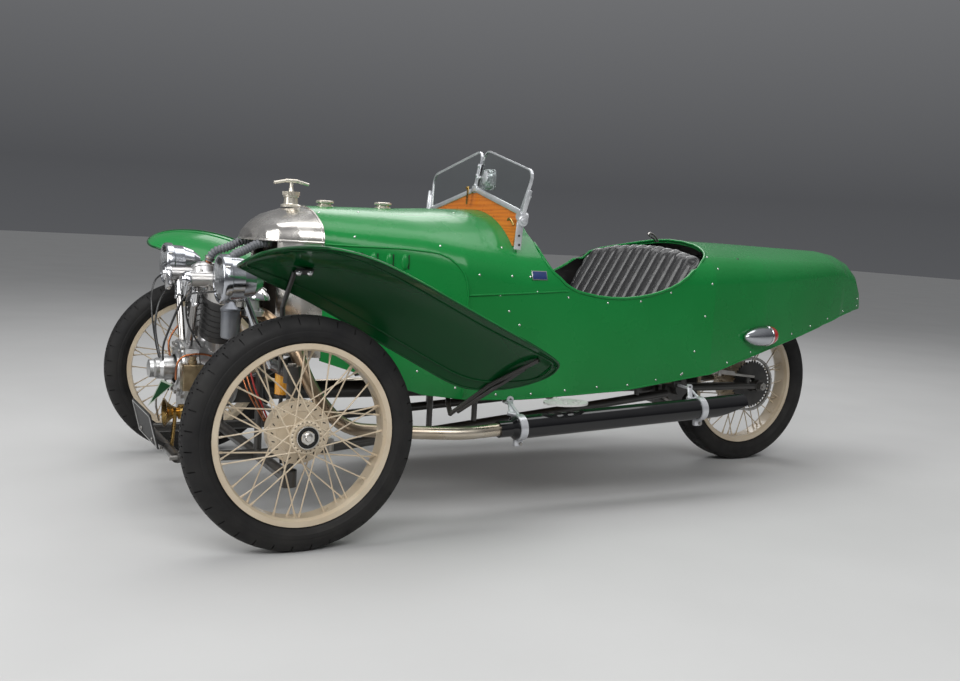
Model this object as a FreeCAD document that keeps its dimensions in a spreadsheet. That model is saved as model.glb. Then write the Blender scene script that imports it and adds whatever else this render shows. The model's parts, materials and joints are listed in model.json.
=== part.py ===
import FreeCAD, Part
import math
import os
import re

import Sketcher

# ----------------------------------------------------------------------------------------------------------
# Vintage three wheeled car: two steered front wheels, one driven rear wheel, a V-twin engine ahead of the
# front axle and a boat-tailed two-seat body.  Frame: forward is -X, the left side is -Y, +Z is up, z = 0 is
# the ground, and the origin is under the middle of the car's length.  Millimetres and degrees.
# ----------------------------------------------------------------------------------------------------------

# alias, size, what it is
SIZES = (
    ("wheel_base", 2160, "front axle to rear axle"),
    ("track_width", 1300, "between the front tyres' middles"),
    ("front_axle_x", -1245, "place of the front axle"),
    ("tyre_radius", 330, "outer radius of all three tyres"),
    ("tyre_width", 92, "widest part of a front tyre"),
    ("rear_tyre_width", 112, "widest part of the rear tyre"),
    ("rim_radius", 255.5, "outer radius of the rim's flanges"),
    ("rim_width", 76, "across the rim's flanges"),
    ("rim_depth", 21, "radial depth of the rim"),
    ("rim_wall", 5, "thickness of the rim"),
    ("drum_radius", 90, "brake drum"),
    ("drum_width", 34, "brake drum, along the axle"),
    ("hub_radius", 29, "hub barrel"),
    ("flange_radius", 47, "outer spoke flange"),
    ("spoke_radius", 2.2, "one spoke"),
    ("axle_radius", 10, "stub axle"),
    ("running_gap", 0.05, "radial clearance of a shaft in its bore"),
    ("seat_gap", 0.3, "clearance where still pieces meet on curved faces"),
    ("kingpin_inset", 100, "kingpin inboard of the wheel's middle"),
    ("kingpin_radius", 14, "sliding pillar"),
    ("pillar_reach", 150, "axle height to each cross tube"),
    ("cross_tube_radius", 18, "the front axle's cross tubes"),
    ("body_half_width", 425, "widest part of the body, half"),
    ("nose_half_width", 232, "the body's front end, half"),
    ("body_wall", 12, "body panels with their frame"),
    ("cowl_height", 985, "top of the cowl at the windscreen"),
    ("nose_height", 960, "top of the cowl at the radiator"),
    ("deck_height", 914, "top of the tail deck"),
    ("sill_height", 383, "lower edge of the body at the cockpit"),
    ("tail_length", 1590, "the tail's tip behind the origin"),
    ("floor_thickness", 15, "floor boards"),
    ("seat_side_gap", 33, "each side of the seats to the body's panels"),
    ("seat_width", "=2*(body_half_width-body_wall-seat_side_gap)", "both seats together"),
    ("cushion_height", 130, "seat cushion"),
    ("cushion_length", 460, "seat cushion, front to back"),
    ("backrest_thickness", 85, "seat back"),
    ("screen_half_width", 348, "windscreen's foot, half"),
    ("screen_lean", 9.5, "the windscreen's lean back from upright"),
    ("glass_thickness", 6, "windscreen pane"),
    ("crank_height", 400, "crankshaft above the ground"),
    ("crankcase_radius", 108, "crankcase drum"),
    ("crankcase_length", 150, "crankcase, along the crankshaft"),
    ("cylinder_radius", 60, "cylinder barrel"),
    ("cylinder_reach", 330, "crankshaft to the top of the cylinder head"),
    ("vee_half_angle", 25, "a cylinder's lean from upright"),
    ("silencer_radius", 38, "silencer tube"),
    ("silencer_length", 1018, "silencer tube"),
    ("silencer_offset", 500, "silencer's axis from the car's middle"),
    ("pipe_radius", 21, "exhaust pipe"),
    ("lamp_radius", 68, "headlamp rim"),
    ("lamp_offset", 390, "headlamp from the car's middle"),
    ("steering_rim_radius", 190, "steering wheel, to the middle of its rim"),
    ("steering_grip_radius", 11, "steering wheel's rim"),
    ("sprocket_radius", 98, "rear chain sprocket"),
    ("chain_offset", 74, "chain line from the car's middle"),
)

doc = FreeCAD.newDocument("three_wheeler")
sheet = doc.addObject("Spreadsheet::Sheet", "sizes")
for row, (alias, size, meaning) in enumerate(SIZES, start=1):
    sheet.set(f"A{row}", alias)
    sheet.set(f"B{row}", str(size))
    sheet.set(f"C{row}", meaning)
    sheet.setAlias(f"B{row}", alias)
doc.recompute()

ALIASES = re.compile(r"\b(" + "|".join(alias for alias, _, _ in SIZES) + r")\b")
V = FreeCAD.Vector
X, Y, Z = V(1, 0, 0), V(0, 1, 0), V(0, 0, 1)


def bound(text):
    """An expression over the sheet's sizes, as another object has to write it."""
    return ALIASES.sub(r"sizes.\1", str(text))


def value(text):
    """What such an expression comes to now."""
    return float(sheet.evalExpression(bound(text)))


def spot(at):
    return V(*(value(text) for text in at))


def place(item, at, turn=None):
    """Put an object at three expressions, turned by a rotation."""
    item.Placement = FreeCAD.Placement(spot(at), turn or FreeCAD.Rotation())
    for axis, text in zip("xyz", at):
        item.setExpression(f"Placement.Base.{axis}", bound(text))
    return item


def plane(body, role):
    return next(item for item in body.Origin.OriginFeatures if item.Role == role)


def outline(body, role, points):
    """A closed sketch through points given as pairs of expressions, each held by two driven distances."""
    sketch = body.newObject("Sketcher::SketchObject", "outline")
    sketch.AttachmentSupport = [(plane(body, role), "")]
    sketch.MapMode = "FlatFace"
    corners = [V(value(across), value(up), 0) for across, up in points]
    count = len(corners)
    for i in range(count):
        sketch.addGeometry(Part.LineSegment(corners[i], corners[(i + 1) % count]), False)
    for i in range(count):
        sketch.addConstraint(Sketcher.Constraint("Coincident", i, 2, (i + 1) % count, 1))
    for i, pair in enumerate(points):
        for kind, text in zip(("DistanceX", "DistanceY"), pair):
            number = sketch.addConstraint(Sketcher.Constraint(kind, -1, 1, i, 1, value(text)))
            sketch.setExpression(f"Constraints[{number}]", bound(text))
    return sketch


def turned(label, points, at=(0, 0, 0), along=X):
    """A turned piece: (along, radius) pairs, revolved about the axis that starts at `at` and runs `along`."""
    body = doc.addObject("PartDesign::Body", label)
    sketch = outline(body, "XZ_Plane", points)
    turn = body.newObject("PartDesign::Revolution", "turning")
    turn.Profile = sketch
    turn.ReferenceAxis = (sketch, ["H_Axis"])
    turn.Angle = 360
    return place(body, at, FreeCAD.Rotation(X, along))


def plate(label, points, thickness, at=(0, 0, 0), turn=None):
    """A flat piece: (x, y) pairs, padded upwards by its thickness."""
    body = doc.addObject("PartDesign::Body", label)
    pad = body.newObject("PartDesign::Pad", "pad")
    pad.Profile = outline(body, "XY_Plane", points)
    pad.setExpression("Length", bound(thickness))
    return place(body, at, turn)


def rod(label, start, end, radius):
    """A round bar between two spots given as expressions."""
    item = doc.addObject("Part::Cylinder", label)
    item.setExpression("Radius", bound(radius))
    squares = "+".join(f"(({b})-({a}))^2" for a, b in zip(start, end))
    item.setExpression("Height", bound(f"sqrt({squares})"))
    return place(item, start, FreeCAD.Rotation(Z, spot(end) - spot(start)))


def block(label, size, at, turn=None):
    """A box of three expressions, its low corner at `at`."""
    item = doc.addObject("Part::Box", label)
    for side, text in zip(("Length", "Width", "Height"), size):
        item.setExpression(side, bound(text))
    return place(item, at, turn)


def joined(label, pieces):
    item = doc.addObject("Part::MultiFuse", label)
    item.Shapes = pieces
    return item


def cut(label, base, tool):
    item = doc.addObject("Part::Cut", label)
    item.Base = base
    item.Tool = tool
    return item


def group(label, pieces):
    item = doc.addObject("Part::Compound", label)
    item.Links = pieces
    return item


def shaped(label, shape):
    """A piece whose shape comes from Part's own functions, with its sizes read from the sheet."""
    item = doc.addObject("Part::Feature", label)
    item.Shape = shape
    return item


def mirrored(label, source):
    """The same piece on the other side of the car."""
    item = doc.addObject("Part::Mirroring", label)
    item.Source = source
    item.Normal = Y
    return item


def pipe(points, radius, bore=0):
    """A pipe along straight runs joined by tangent arcs; the arcs take what their two runs allow."""
    corners = [V(*point) for point in points]
    edges = []
    here = corners[0]
    for before, corner, after in zip(corners, corners[1:], corners[2:]):
        back = (before - corner).normalize()
        on = (after - corner).normalize()
        half = back.getAngle(on) / 2
        run = 0.45 * min((before - corner).Length, (after - corner).Length)
        first, last = corner + back * run, corner + on * run
        bisector = (back + on).normalize()
        centre = corner + bisector * (run / math.cos(half))
        middle = centre - bisector * (run * math.tan(half))
        edges.append(Part.LineSegment(here, first).toShape())
        edges.append(Part.Arc(first, middle, last).toShape())
        here = last
    edges.append(Part.LineSegment(here, corners[-1]).toShape())
    path = Part.Wire(edges)
    heading = corners[1] - corners[0]

    def swept(size):
        ring = Part.Wire([Part.Circle(corners[0], heading, size).toShape()])
        return path.makePipeShell([ring], True, False)

    solid = swept(radius)
    return solid.cut(swept(bore)) if bore else solid


nodes = []


def node(item, name):
    """Register a finished sub-part under the name of its file."""
    item.Label = name
    nodes.append(item)
    return item


rear_axle_x = "front_axle_x+wheel_base"
wheel_y = "track_width/2"
kingpin_y = "track_width/2-kingpin_inset"

# --- Wheels: a channel rim laced by crossed spokes to a hub with a brake drum on its inner side -----------
# A wheel is made about the origin with its axle along Y, its outer face towards -Y.

rim_low = "(rim_radius-rim_depth)"
rim_shoulder = "(rim_radius-rim_depth/2-rim_wall)"
rim = turned(
    "rim",
    (
        ("-rim_width/2", "rim_radius"),
        ("-rim_width/2", f"{rim_shoulder}"),
        ("-rim_width/3", rim_low),
        ("rim_width/3", rim_low),
        ("rim_width/2", f"{rim_shoulder}"),
        ("rim_width/2", "rim_radius"),
        ("rim_width/2-rim_wall", "rim_radius"),
        ("rim_width/2-rim_wall", f"{rim_shoulder}+rim_wall"),
        ("rim_width/3-rim_wall/2", f"{rim_low}+rim_wall"),
        ("-rim_width/3+rim_wall/2", f"{rim_low}+rim_wall"),
        ("-rim_width/2+rim_wall", f"{rim_shoulder}+rim_wall"),
        ("-rim_width/2+rim_wall", "rim_radius"),
    ),
    along=Y,
)
flange_in, flange_out = "-46", "-40"
drum_in, drum_web, drum_out = "20", "26", "20+drum_width"
hub = turned(
    "hub",
    (
        ("-58", "axle_radius+running_gap"),
        ("-58", "hub_radius"),
        (flange_in, "hub_radius"),
        (flange_in, "flange_radius"),
        (flange_out, "flange_radius"),
        (flange_out, "hub_radius"),
        (drum_in, "hub_radius"),
        (drum_in, "drum_radius"),
        (drum_out, "drum_radius"),
        (drum_out, "drum_radius-6"),
        (drum_web, "drum_radius-6"),
        (drum_web, "axle_radius+running_gap"),
    ),
    along=Y,
)

# Lacing: flange's place along the axle, flange radius, spokes, degrees a spoke turns between hub and rim
LACING = (("-43", "flange_radius-5", 20, 54), ("23", "drum_radius-5", 20, 30))


def spokes():
    bars = []
    rim_bottom = value(rim_low) + value("rim_wall") / 2
    for number, (along, radius, count, wrap) in enumerate(LACING):
        for i in range(count):
            pair, side = divmod(i, 2)
            foot = math.radians((pair + 0.5 * side) * 720 / count + 4.5 * number)
            head = foot + math.radians(wrap if side else -wrap)
            low = V(value(radius) * math.cos(foot), value(along), value(radius) * math.sin(foot))
            high = V(rim_bottom * math.cos(head), (number - 0.5) * 14, rim_bottom * math.sin(head))
            bars.append(Part.makeCylinder(value("spoke_radius"), (high - low).Length, low, high - low))
    return Part.makeCompound(bars)


laced = joined("laced_wheel", [rim, hub, shaped("spokes", spokes())])

bead = "(rim_width/2-rim_wall-seat_gap)"


def tyre_outline(width, sides):
    """Half the tyre's section, bead to tread, then the same points mirrored to the other side."""
    half = [(f"{bead}", f"{rim_shoulder}+rim_wall+seat_gap+1"), (f"{bead}", "rim_radius+2")]
    half += [(f"{width}/2-{inward}", f"{height}") for inward, height in sides]
    return [(f"-({along})", radius) for along, radius in half] + half[::-1]


# Distance in from the tyre's side, radius
ROUND_SHOULDER = ((0, "rim_radius+26"), (0, "tyre_radius-34"), (7, "tyre_radius-17"), (19, "tyre_radius-5"),
                  (36, "tyre_radius"))
SQUARE_SHOULDER = ((0, "rim_radius+30"), (0, "tyre_radius-22"), (5, "tyre_radius-9"), (14, "tyre_radius-2"),
                   (30, "tyre_radius"))
front_tyre = turned("front_tyre", tyre_outline("tyre_width", ROUND_SHOULDER), along=Y)
rear_tyre = turned("rear_tyre", tyre_outline("rear_tyre_width", SQUARE_SHOULDER), along=Y)

# Wheel, its tyre, its middle, and its half turn about Z that puts the drum inboard
WHEELS = (
    ("front_left", front_tyre, ("front_axle_x", f"-({wheel_y})", "tyre_radius"), 0),
    ("front_right", front_tyre, ("front_axle_x", wheel_y, "tyre_radius"), 180),
    ("rear", rear_tyre, (rear_axle_x, 0, "tyre_radius"), 0),
)
for name, tyre, middle, half_turn in WHEELS:
    for part, source in (("wheel", laced), ("tyre", tyre)):
        turned_wheel = place(group(f"{part}_{name}", [source]), middle, FreeCAD.Rotation(Z, half_turn))
        node(turned_wheel, f"{part}_{name}")

# --- Front axle: two cross tubes, with a pillar at each end on which the stub axle steers and slides ------
pillar_low = "tyre_radius-pillar_reach"
pillar_high = "tyre_radius+pillar_reach"
pieces = []
for height in (pillar_low, pillar_high):
    pieces.append(
        rod("cross_tube", ("front_axle_x", f"-({kingpin_y})", height), ("front_axle_x", kingpin_y, height),
            "cross_tube_radius")
    )
for side in ("-", ""):
    foot = ("front_axle_x", f"{side}({kingpin_y})", f"{pillar_low}-24")
    top = ("front_axle_x", f"{side}({kingpin_y})", f"{pillar_high}+24")
    pieces.append(rod("pillar", foot, top, "kingpin_radius"))
    for height in (pillar_low, pillar_high):
        low = ("front_axle_x", f"{side}({kingpin_y})", f"{height}-24")
        pieces.append(rod("pillar_lug", low, (low[0], low[1], f"{height}+24"), "kingpin_radius+10"))
node(joined("front_axle", pieces), "front_axle")


def knuckle(name, side):
    """A stub axle on a sleeve that runs on the pillar, with its steering arm behind."""
    middle = f"{side}({kingpin_y})"
    sleeve_low = ("front_axle_x", middle, "tyre_radius-70")
    sleeve_high = ("front_axle_x", middle, "tyre_radius+70")
    sleeve = rod("sleeve", sleeve_low, sleeve_high, "kingpin_radius+9")
    stub_end = ("front_axle_x", f"{side}({wheel_y}+60)", "tyre_radius")
    stub = rod("stub", ("front_axle_x", middle, "tyre_radius"), stub_end, "axle_radius")
    boss_end = ("front_axle_x", f"{side}({wheel_y}-28)", "tyre_radius")
    boss = rod("boss", ("front_axle_x", middle, "tyre_radius"), boss_end, "axle_radius+12")
    back_start = ("front_axle_x", f"{side}({wheel_y}-38)", "tyre_radius")
    back_end = ("front_axle_x", f"{side}({wheel_y}-43)", "tyre_radius")
    back_plate = rod("back_plate", back_start, back_end, "drum_radius-7")
    arm_end = ("front_axle_x+130", f"{side}({kingpin_y}-20)", "tyre_radius-50")
    arm = rod("arm", ("front_axle_x", middle, "tyre_radius-50"), arm_end, 10)
    solid = joined("knuckle_solid", [sleeve, stub, boss, back_plate, arm])
    bore_low = ("front_axle_x", middle, "tyre_radius-90")
    bore_high = ("front_axle_x", middle, "tyre_radius+90")
    bore = rod("pillar_bore", bore_low, bore_high, "kingpin_radius+running_gap")
    return node(cut(name, solid, bore), name)


knuckle("knuckle_left", "-")
knuckle("knuckle_right", "")

# --- Body: sections of flat sides, a tight shoulder arc and a flatter crown arc ---------------------------
# Station: place along the car, half width, crown, shoulder start, lower edge, shoulder radius
NOSE_X, SCREEN_X, COCKPIT_REAR_X = -1050, -395, 400
BONNET_REAR_X = -615
FRONT_STATIONS = (
    (NOSE_X, value("nose_half_width"), value("nose_height"), 840, 470, 70),
    (-740, 350, 969, 800, 373, 105),
    (BONNET_REAR_X, 392, 977, 765, 362, 130),
    (SCREEN_X, 418, value("cowl_height"), 735, 362, 150),
)
REAR_STATIONS = (
    (COCKPIT_REAR_X, 405, value("deck_height"), 760, 431, 110),
    (700, 340, value("deck_height") - 2, 770, 500, 100),
    (1000, 246, value("deck_height") - 8, 785, 556, 84),
    (1270, 152, value("deck_height") - 13, 802, 610, 70),
    (1360, 116, 889, 800, 629, 55),
    (1440, 82, 862, 782, 641, 42),
    (1505, 54, 816, 764, 648, 28),
    (1555, 30, 742, 713, 652, 14),
    (value("tail_length") - 8, 12, 676, 668, 654, 4),
)


def crown_angle(half, rise, radius):
    """Where the shoulder arc meets the crown arc, measured at the shoulder's centre from level."""
    return math.pi / 2 - 2 * math.atan((rise - radius) / (half - radius))


def half_section(station, inset=0):
    """Points of the right half: sill corner, shoulder start, shoulder middle, join, crown middle, crown."""
    x, half, crown, shoulder, sill, radius = station
    half, crown, radius = half - inset, crown - inset, max(radius - inset, 3)
    meet = crown_angle(half, crown - shoulder, radius)

    def on_shoulder(angle):
        return V(x, half - radius + radius * math.cos(angle), shoulder + radius * math.sin(angle))

    big = (half - radius) / math.cos(meet) + radius

    def on_crown(angle):
        return V(x, big * math.cos(angle), crown - big + big * math.sin(angle))

    return (V(x, half, sill), V(x, half, shoulder), on_shoulder(meet / 2), on_shoulder(meet),
            on_crown((meet + math.pi / 2) / 2), V(x, 0, crown))


def flip(point):
    return V(point.x, -point.y, point.z)


def arch(station, inset=0, drop=0):
    """The closed section: two sides, four arcs and a bottom edge."""
    sill, side, bend, meet, rise, top = half_section(station, inset)
    sill = V(sill.x, sill.y, sill.z - drop)
    edges = [
        Part.LineSegment(sill, side).toShape(),
        Part.Arc(side, bend, meet).toShape(),
        Part.Arc(meet, rise, top).toShape(),
        Part.Arc(top, flip(rise), flip(meet)).toShape(),
        Part.Arc(flip(meet), flip(bend), flip(side)).toShape(),
        Part.LineSegment(flip(side), flip(sill)).toShape(),
        Part.LineSegment(flip(sill), sill).toShape(),
    ]
    return Part.Wire(edges)


def shifted(station, by):
    return (station[0] + by,) + station[1:]


def hull(stations, inset=0, drop=0):
    return Part.makeLoft([arch(station, inset, drop) for station in stations], True, True)


def walled(stations, wall, solid_end=False):
    """A hull open below and at both ends, or solid behind its last section but one."""
    inner = list(stations[:-1] if solid_end else stations)
    inner[0] = shifted(inner[0], -1)
    if not solid_end:
        inner[-1] = shifted(inner[-1], 1)
    return hull(stations).cut(hull(inner, wall, 50))


def side_prism(points, low_y, high_y):
    """A prism of a side-view outline, from one distance across the car to another."""
    corners = [V(x, low_y, z) for x, z in points]
    face = Part.Face(Part.makePolygon(corners + corners[:1]))
    return face.extrude(V(0, high_y - low_y, 0))


WALL = value("body_wall")
FAR = 700
SEAT_STATION = (0, value("body_half_width"), 950, 745, value("sill_height"), 150)
BODY_STATIONS = FRONT_STATIONS + (SEAT_STATION, REAR_STATIONS[0])

# The seam between the cowl and the side panels, in side view, and the bonnet side's rounded rear top corner
SEAM_FRONT_Z, SEAM_CORNER_Z, SEAM_REAR_Z, SEAM_COCKPIT_Z = 842, 836, 702, 728
CORNER_RADIUS = 125


def seam_corner(steps=5):
    """The bonnet side's rounded rear top corner."""
    centre_x, centre_z = BONNET_REAR_X - CORNER_RADIUS, SEAM_CORNER_Z - CORNER_RADIUS
    angles = [math.pi / 2 * (1 - i / steps) for i in range(steps + 1)]
    return [(centre_x + CORNER_RADIUS * math.cos(a), centre_z + CORNER_RADIUS * math.sin(a)) for a in angles]


bonnet_outline = [(NOSE_X - 50, 300), (NOSE_X - 50, SEAM_FRONT_Z)] + seam_corner() + [(BONNET_REAR_X, 300)]
cowl_below = bonnet_outline[1:-1] + [(BONNET_REAR_X, SEAM_REAR_Z), (SCREEN_X + 160, SEAM_COCKPIT_Z),
                                     (SCREEN_X + 160, 1100), (NOSE_X - 50, 1100)]


def chain_of(runs):
    """Edges through runs of (a, b) points, a run of two being straight and a run of three an arc."""
    return [Part.LineSegment(*run).toShape() if len(run) == 2 else Part.Arc(*run).toShape() for run in runs]


def prism(runs, upright, way):
    """A prism whose end face is bounded by such runs, given as pairs that `upright` turns into spots."""
    face = Part.Face(Part.Wire(chain_of([[upright(*pair) for pair in run] for run in runs])))
    return face.extrude(way)


# The cockpit's rim in side view, from the windscreen down, along the seats and up to the deck
RIM_FRONT, RIM_REAR, RIM_TOP, DECK_LOW = -342, 298, 1100, 826
SIDE_RUNS = (
    ((RIM_FRONT, RIM_TOP), (RIM_FRONT, 907)),
    ((RIM_FRONT, 907), (-338, 841)),
    ((-338, 841), (-321, 802), (-285, 768)),
    ((-285, 768), (-238, 735), (-184, 720)),
    ((-184, 720), (-76, 706), (45, 713)),
    ((45, 713), (142, 732), (220, 763)),
    ((220, 763), (262, 786), (RIM_REAR, 814)),
    ((RIM_REAR, 814), (520, DECK_LOW)),
    ((520, DECK_LOW), (520, RIM_TOP)),
    ((520, RIM_TOP), (RIM_FRONT, RIM_TOP)),
)
# The rim in plan, an oval behind the seats: from the right side round the deck to the left side
OVAL = (((RIM_REAR, 398), (354, 368), (392, 334)), ((392, 334), (441, 262), (475, 172)))
PLAN_RUNS = (
    ((-500, FAR), (RIM_REAR, FAR)),
    ((RIM_REAR, FAR), (RIM_REAR, 398)),
    *OVAL,
    ((475, 172), (487, 0), (475, -172)),
    *[tuple((x, -y) for x, y in reversed(run)) for run in reversed(OVAL)],
    ((RIM_REAR, -398), (RIM_REAR, -FAR)),
    ((RIM_REAR, -FAR), (-500, -FAR)),
    ((-500, -FAR), (-500, FAR)),
)
cockpit_side = prism(SIDE_RUNS, lambda x, z: V(x, -FAR, z), V(0, 2 * FAR, 0))
cockpit_plan = prism(PLAN_RUNS, lambda x, y: V(x, y, 650), V(0, 0, RIM_TOP - 650 + 50))
cockpit_cut = cockpit_side.common(cockpit_plan)

body_shell = walled(BODY_STATIONS, WALL).cut(cockpit_cut)
cowl_zone = side_prism(cowl_below, -FAR, FAR)
node(shaped("top_cowl", body_shell.common(cowl_zone)), "top_cowl")

gap = value("seat_gap")
for name, low_y, high_y in (("left", -FAR, -1), ("right", 1, FAR)):
    bonnet = body_shell.common(side_prism(bonnet_outline, low_y, high_y))
    node(shaped(f"bonnet_side_{name}", bonnet), f"bonnet_side_{name}")
    half_outline = ((-1200, 200), (-1200, 1200), (COCKPIT_REAR_X, 1200), (COCKPIT_REAR_X, 200))
    half = side_prism(half_outline, low_y, high_y)
    side = body_shell.common(half).cut(cowl_zone).cut(side_prism(bonnet_outline, -FAR, FAR))
    node(shaped(f"body_side_{name}", side), f"body_side_{name}")
tail_shell = walled(REAR_STATIONS, WALL, True).cut(cockpit_cut)
node(shaped("tail", tail_shell), "tail")

UPRIGHT = FreeCAD.Rotation(Y, Z, X, "XYZ")

# --- Track rod: keeps the two steering arms parallel ------------------------------------------------------
arm_x, arm_y, arm_z = "front_axle_x+130", f"{kingpin_y}-20", "tyre_radius-50"
rod_z = "tyre_radius-72"
track_rod = [rod("track_bar", (arm_x, f"-({arm_y})", rod_z), (arm_x, arm_y, rod_z), 9)]
# The left ball end carries the joint and reaches its arm; the right one stays clear of its arm
for end_y, ball_top in ((f"-({arm_y})", f"{rod_z}+11.7"), (arm_y, f"{rod_z}+6")):
    track_rod.append(rod("ball_end", (arm_x, end_y, f"{rod_z}-10"), (arm_x, end_y, ball_top), 11))
node(joined("track_rod", track_rod), "track_rod")

# --- Radiator: a solid header tank shaped as a dome over a finned core, with a filler on top --------------
DOME_FOOT = 845
DOME_STATIONS = (
    (NOSE_X - 205, 20, 852, 847, 845, 3),
    (NOSE_X - 190, 80, 880, 847, 845, 20),
    (NOSE_X - 160, 135, 910, 847, 845, 42),
    (NOSE_X - 130, 170, 929, 847, 845, 58),
    (NOSE_X - 70, 212, 949, 847, 845, 68),
    (NOSE_X - gap, value("nose_half_width"), value("nose_height"), 847, 845, 70),
)
cheeks = []
CORE_FOOT = 480
CHEEK_PLAN = ((-1178, 150), (-1110, 210), (NOSE_X - gap, 231), (NOSE_X - gap, 221), (-1110, 199), (-1172, 142))
for side in (-1, 1):
    plan = [V(x, side * y, CORE_FOOT) for x, y in CHEEK_PLAN]
    cheeks.append(Part.Face(Part.makePolygon(plan + plan[:1])).extrude(V(0, 0, DOME_FOOT + 1 - CORE_FOOT)))
radiator = node(shaped("radiator_shell", hull(DOME_STATIONS).multiFuse(cheeks)), "radiator_shell")
core_size = (58, 380, f"{DOME_FOOT - CORE_FOOT}-seat_gap")
node(block("radiator_core", core_size, (-1110, -190, CORE_FOOT)), "radiator_core")
FILLER_X = -1092
cap = turned(
    "filler_cap",
    ((0, 0), (0, 24), (38, 22), (38, 27), (50, 27), (50, 7), (84, 5), (84, 0)),
    (FILLER_X, 0, "nose_height-6"),
    Z,
)
bar_height = "nose_height+79"
wing_nut = [rod("cap_bar", (FILLER_X - 20, 0, bar_height), (FILLER_X + 20, 0, bar_height), 6)]
for way in (-1, 1):
    shoulder = (FILLER_X + 18 * way, 0, bar_height)
    wing_nut.append(rod("cap_bar", shoulder, (FILLER_X + 59 * way, 0, f"{bar_height}-9"), 5))
cap_solid = joined("cap_solid", [cap] + wing_nut)
node(cut("radiator_cap", cap_solid, radiator), "radiator_cap")
TANK_CAP = ((-9, 0), (-9, 24), (8, 24), (8, 29), (17, 29), (17, 0))
# Place of a cap, and how far the cowl's crown has risen there
CAP_SPOTS = ((-974, 2.2), (-764, 8.3))
caps = [turned("tank_cap", TANK_CAP, (x, 0, f"nose_height+{rise}"), Z) for x, rise in CAP_SPOTS]
body_mass = shaped("body_mass", hull(BODY_STATIONS, -gap))
node(cut("tank_caps", group("caps", caps), body_mass), "tank_caps")

# --- Chassis: two lower side tubes and a backbone tube run back to the bevel box, which has the rear fork ---
BEVEL_AHEAD, BEVEL_Z = 155, 330
BEVEL_X = value(rear_axle_x) - value("tyre_radius") - BEVEL_AHEAD
RAIL_FRONT, RAIL_REAR = V(-1095, 235, 180), V(BEVEL_X, 120, 310)
CROSS_TOP = 399.7
# Place of each cross member under the floor, its half length
CROSS_MEMBERS = ((-640, 352), (-460, 380), (281, 378))
rails = []
FRONT_END = "front_axle_x-245"
for side in ("-", ""):
    front = (FRONT_END, f"{side}230", pillar_low)
    middle = (RAIL_FRONT.x, f"{side}{RAIL_FRONT.y}", RAIL_FRONT.z)
    rear = (RAIL_REAR.x, f"{side}{RAIL_REAR.y}", RAIL_REAR.z)
    rails.append(rod("front_rail", front, middle, 16))
    rails.append(rod("side_rail", middle, rear, 16))
    upright_low = ("front_axle_x", f"{side}235", pillar_low)
    rails.append(rod("upright", upright_low, ("front_axle_x", f"{side}235", pillar_high), 12))
    for x, half in CROSS_MEMBERS:
        at = RAIL_FRONT + (RAIL_REAR - RAIL_FRONT) * ((x - RAIL_FRONT.x) / (RAIL_REAR.x - RAIL_FRONT.x))
        rails.append(rod("riser", (x, f"{side}{at.y}", at.z), (x, f"{side}{at.y}", CROSS_TOP - 10), 10))
rails.append(rod("front_cross", (FRONT_END, -230, pillar_low), (FRONT_END, 230, pillar_low), 16))
for x, half in CROSS_MEMBERS:
    rails.append(block("cross_member", (40, 2 * half, 20), (x - 20, -half, CROSS_TOP - 20)))
    rails.append(rod("saddle", (x, 0, 350), (x, 0, CROSS_TOP - 10), 14))
rails.append(rod("backbone", (-1150, 0, 340), (BEVEL_X, 0, BEVEL_Z), 30))
chassis = joined("chassis_tubes", rails)
chassis = node(cut("chassis", chassis, doc.getObject("front_axle")), "chassis")
bevel = [block("bevel_case", (140, 110, 140), (BEVEL_X, -55, BEVEL_Z - 70))]
PIVOT_X = BEVEL_X + 70
PINION_RADIUS = 54.7
bevel.append(rod("bevel_cap", (PIVOT_X, -100, BEVEL_Z), (PIVOT_X, 100, BEVEL_Z), PINION_RADIUS))
SPRING_FOOT = BEVEL_Z + 82
bevel.append(block("spring_seat", (60, 290, 14), (BEVEL_X + 8, -145, SPRING_FOOT - 14)))
node(cut("bevel_box", joined("bevel_solid", bevel), chassis), "bevel_box")
# The springs lean so that their rear ends stay clear above the fork's arms, which slope with the wheel's size
SPRING_CLEAR, SPRING_X, SPRING_LENGTH = 36, BEVEL_X + 8, 440
FORK_Y = 116
arm_slope = (value("tyre_radius") - BEVEL_Z) / (value(rear_axle_x) - PIVOT_X)
arm_height = BEVEL_Z + arm_slope * (SPRING_X + SPRING_LENGTH - PIVOT_X)
SPRING_LEAN = math.degrees(math.asin((SPRING_FOOT - arm_height - SPRING_CLEAR) / SPRING_LENGTH))
shackle_x = SPRING_X + SPRING_LENGTH - 20
shackle_top = SPRING_FOOT + gap - math.tan(math.radians(SPRING_LEAN)) * (shackle_x + 10 - SPRING_X) - gap
fork = []
AXLE_Z = "tyre_radius"
for side in ("-", ""):
    arm_y = f"{side}{FORK_Y}"
    fork.append(rod("fork_arm", (PIVOT_X, arm_y, BEVEL_Z), (rear_axle_x, arm_y, AXLE_Z), 15))
    fork.append(rod("fork_end", (rear_axle_x, f"{side}103", AXLE_Z), (rear_axle_x, f"{side}130", AXLE_Z), 24))
    shackle_low = BEVEL_Z + arm_slope * (shackle_x - PIVOT_X)
    fork.append(rod("shackle", (shackle_x, arm_y, shackle_low), (shackle_x, arm_y, shackle_top), 10))
    fork.append(rod("fork_pivot", (PIVOT_X, f"{side}100.3", BEVEL_Z), (PIVOT_X, f"{side}134", BEVEL_Z), 30))
fork.append(rod("rear_axle", (rear_axle_x, -138, AXLE_Z), (rear_axle_x, 138, AXLE_Z), "axle_radius"))
node(group("rear_fork", [joined("fork_solid", fork)]), "rear_fork")
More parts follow.
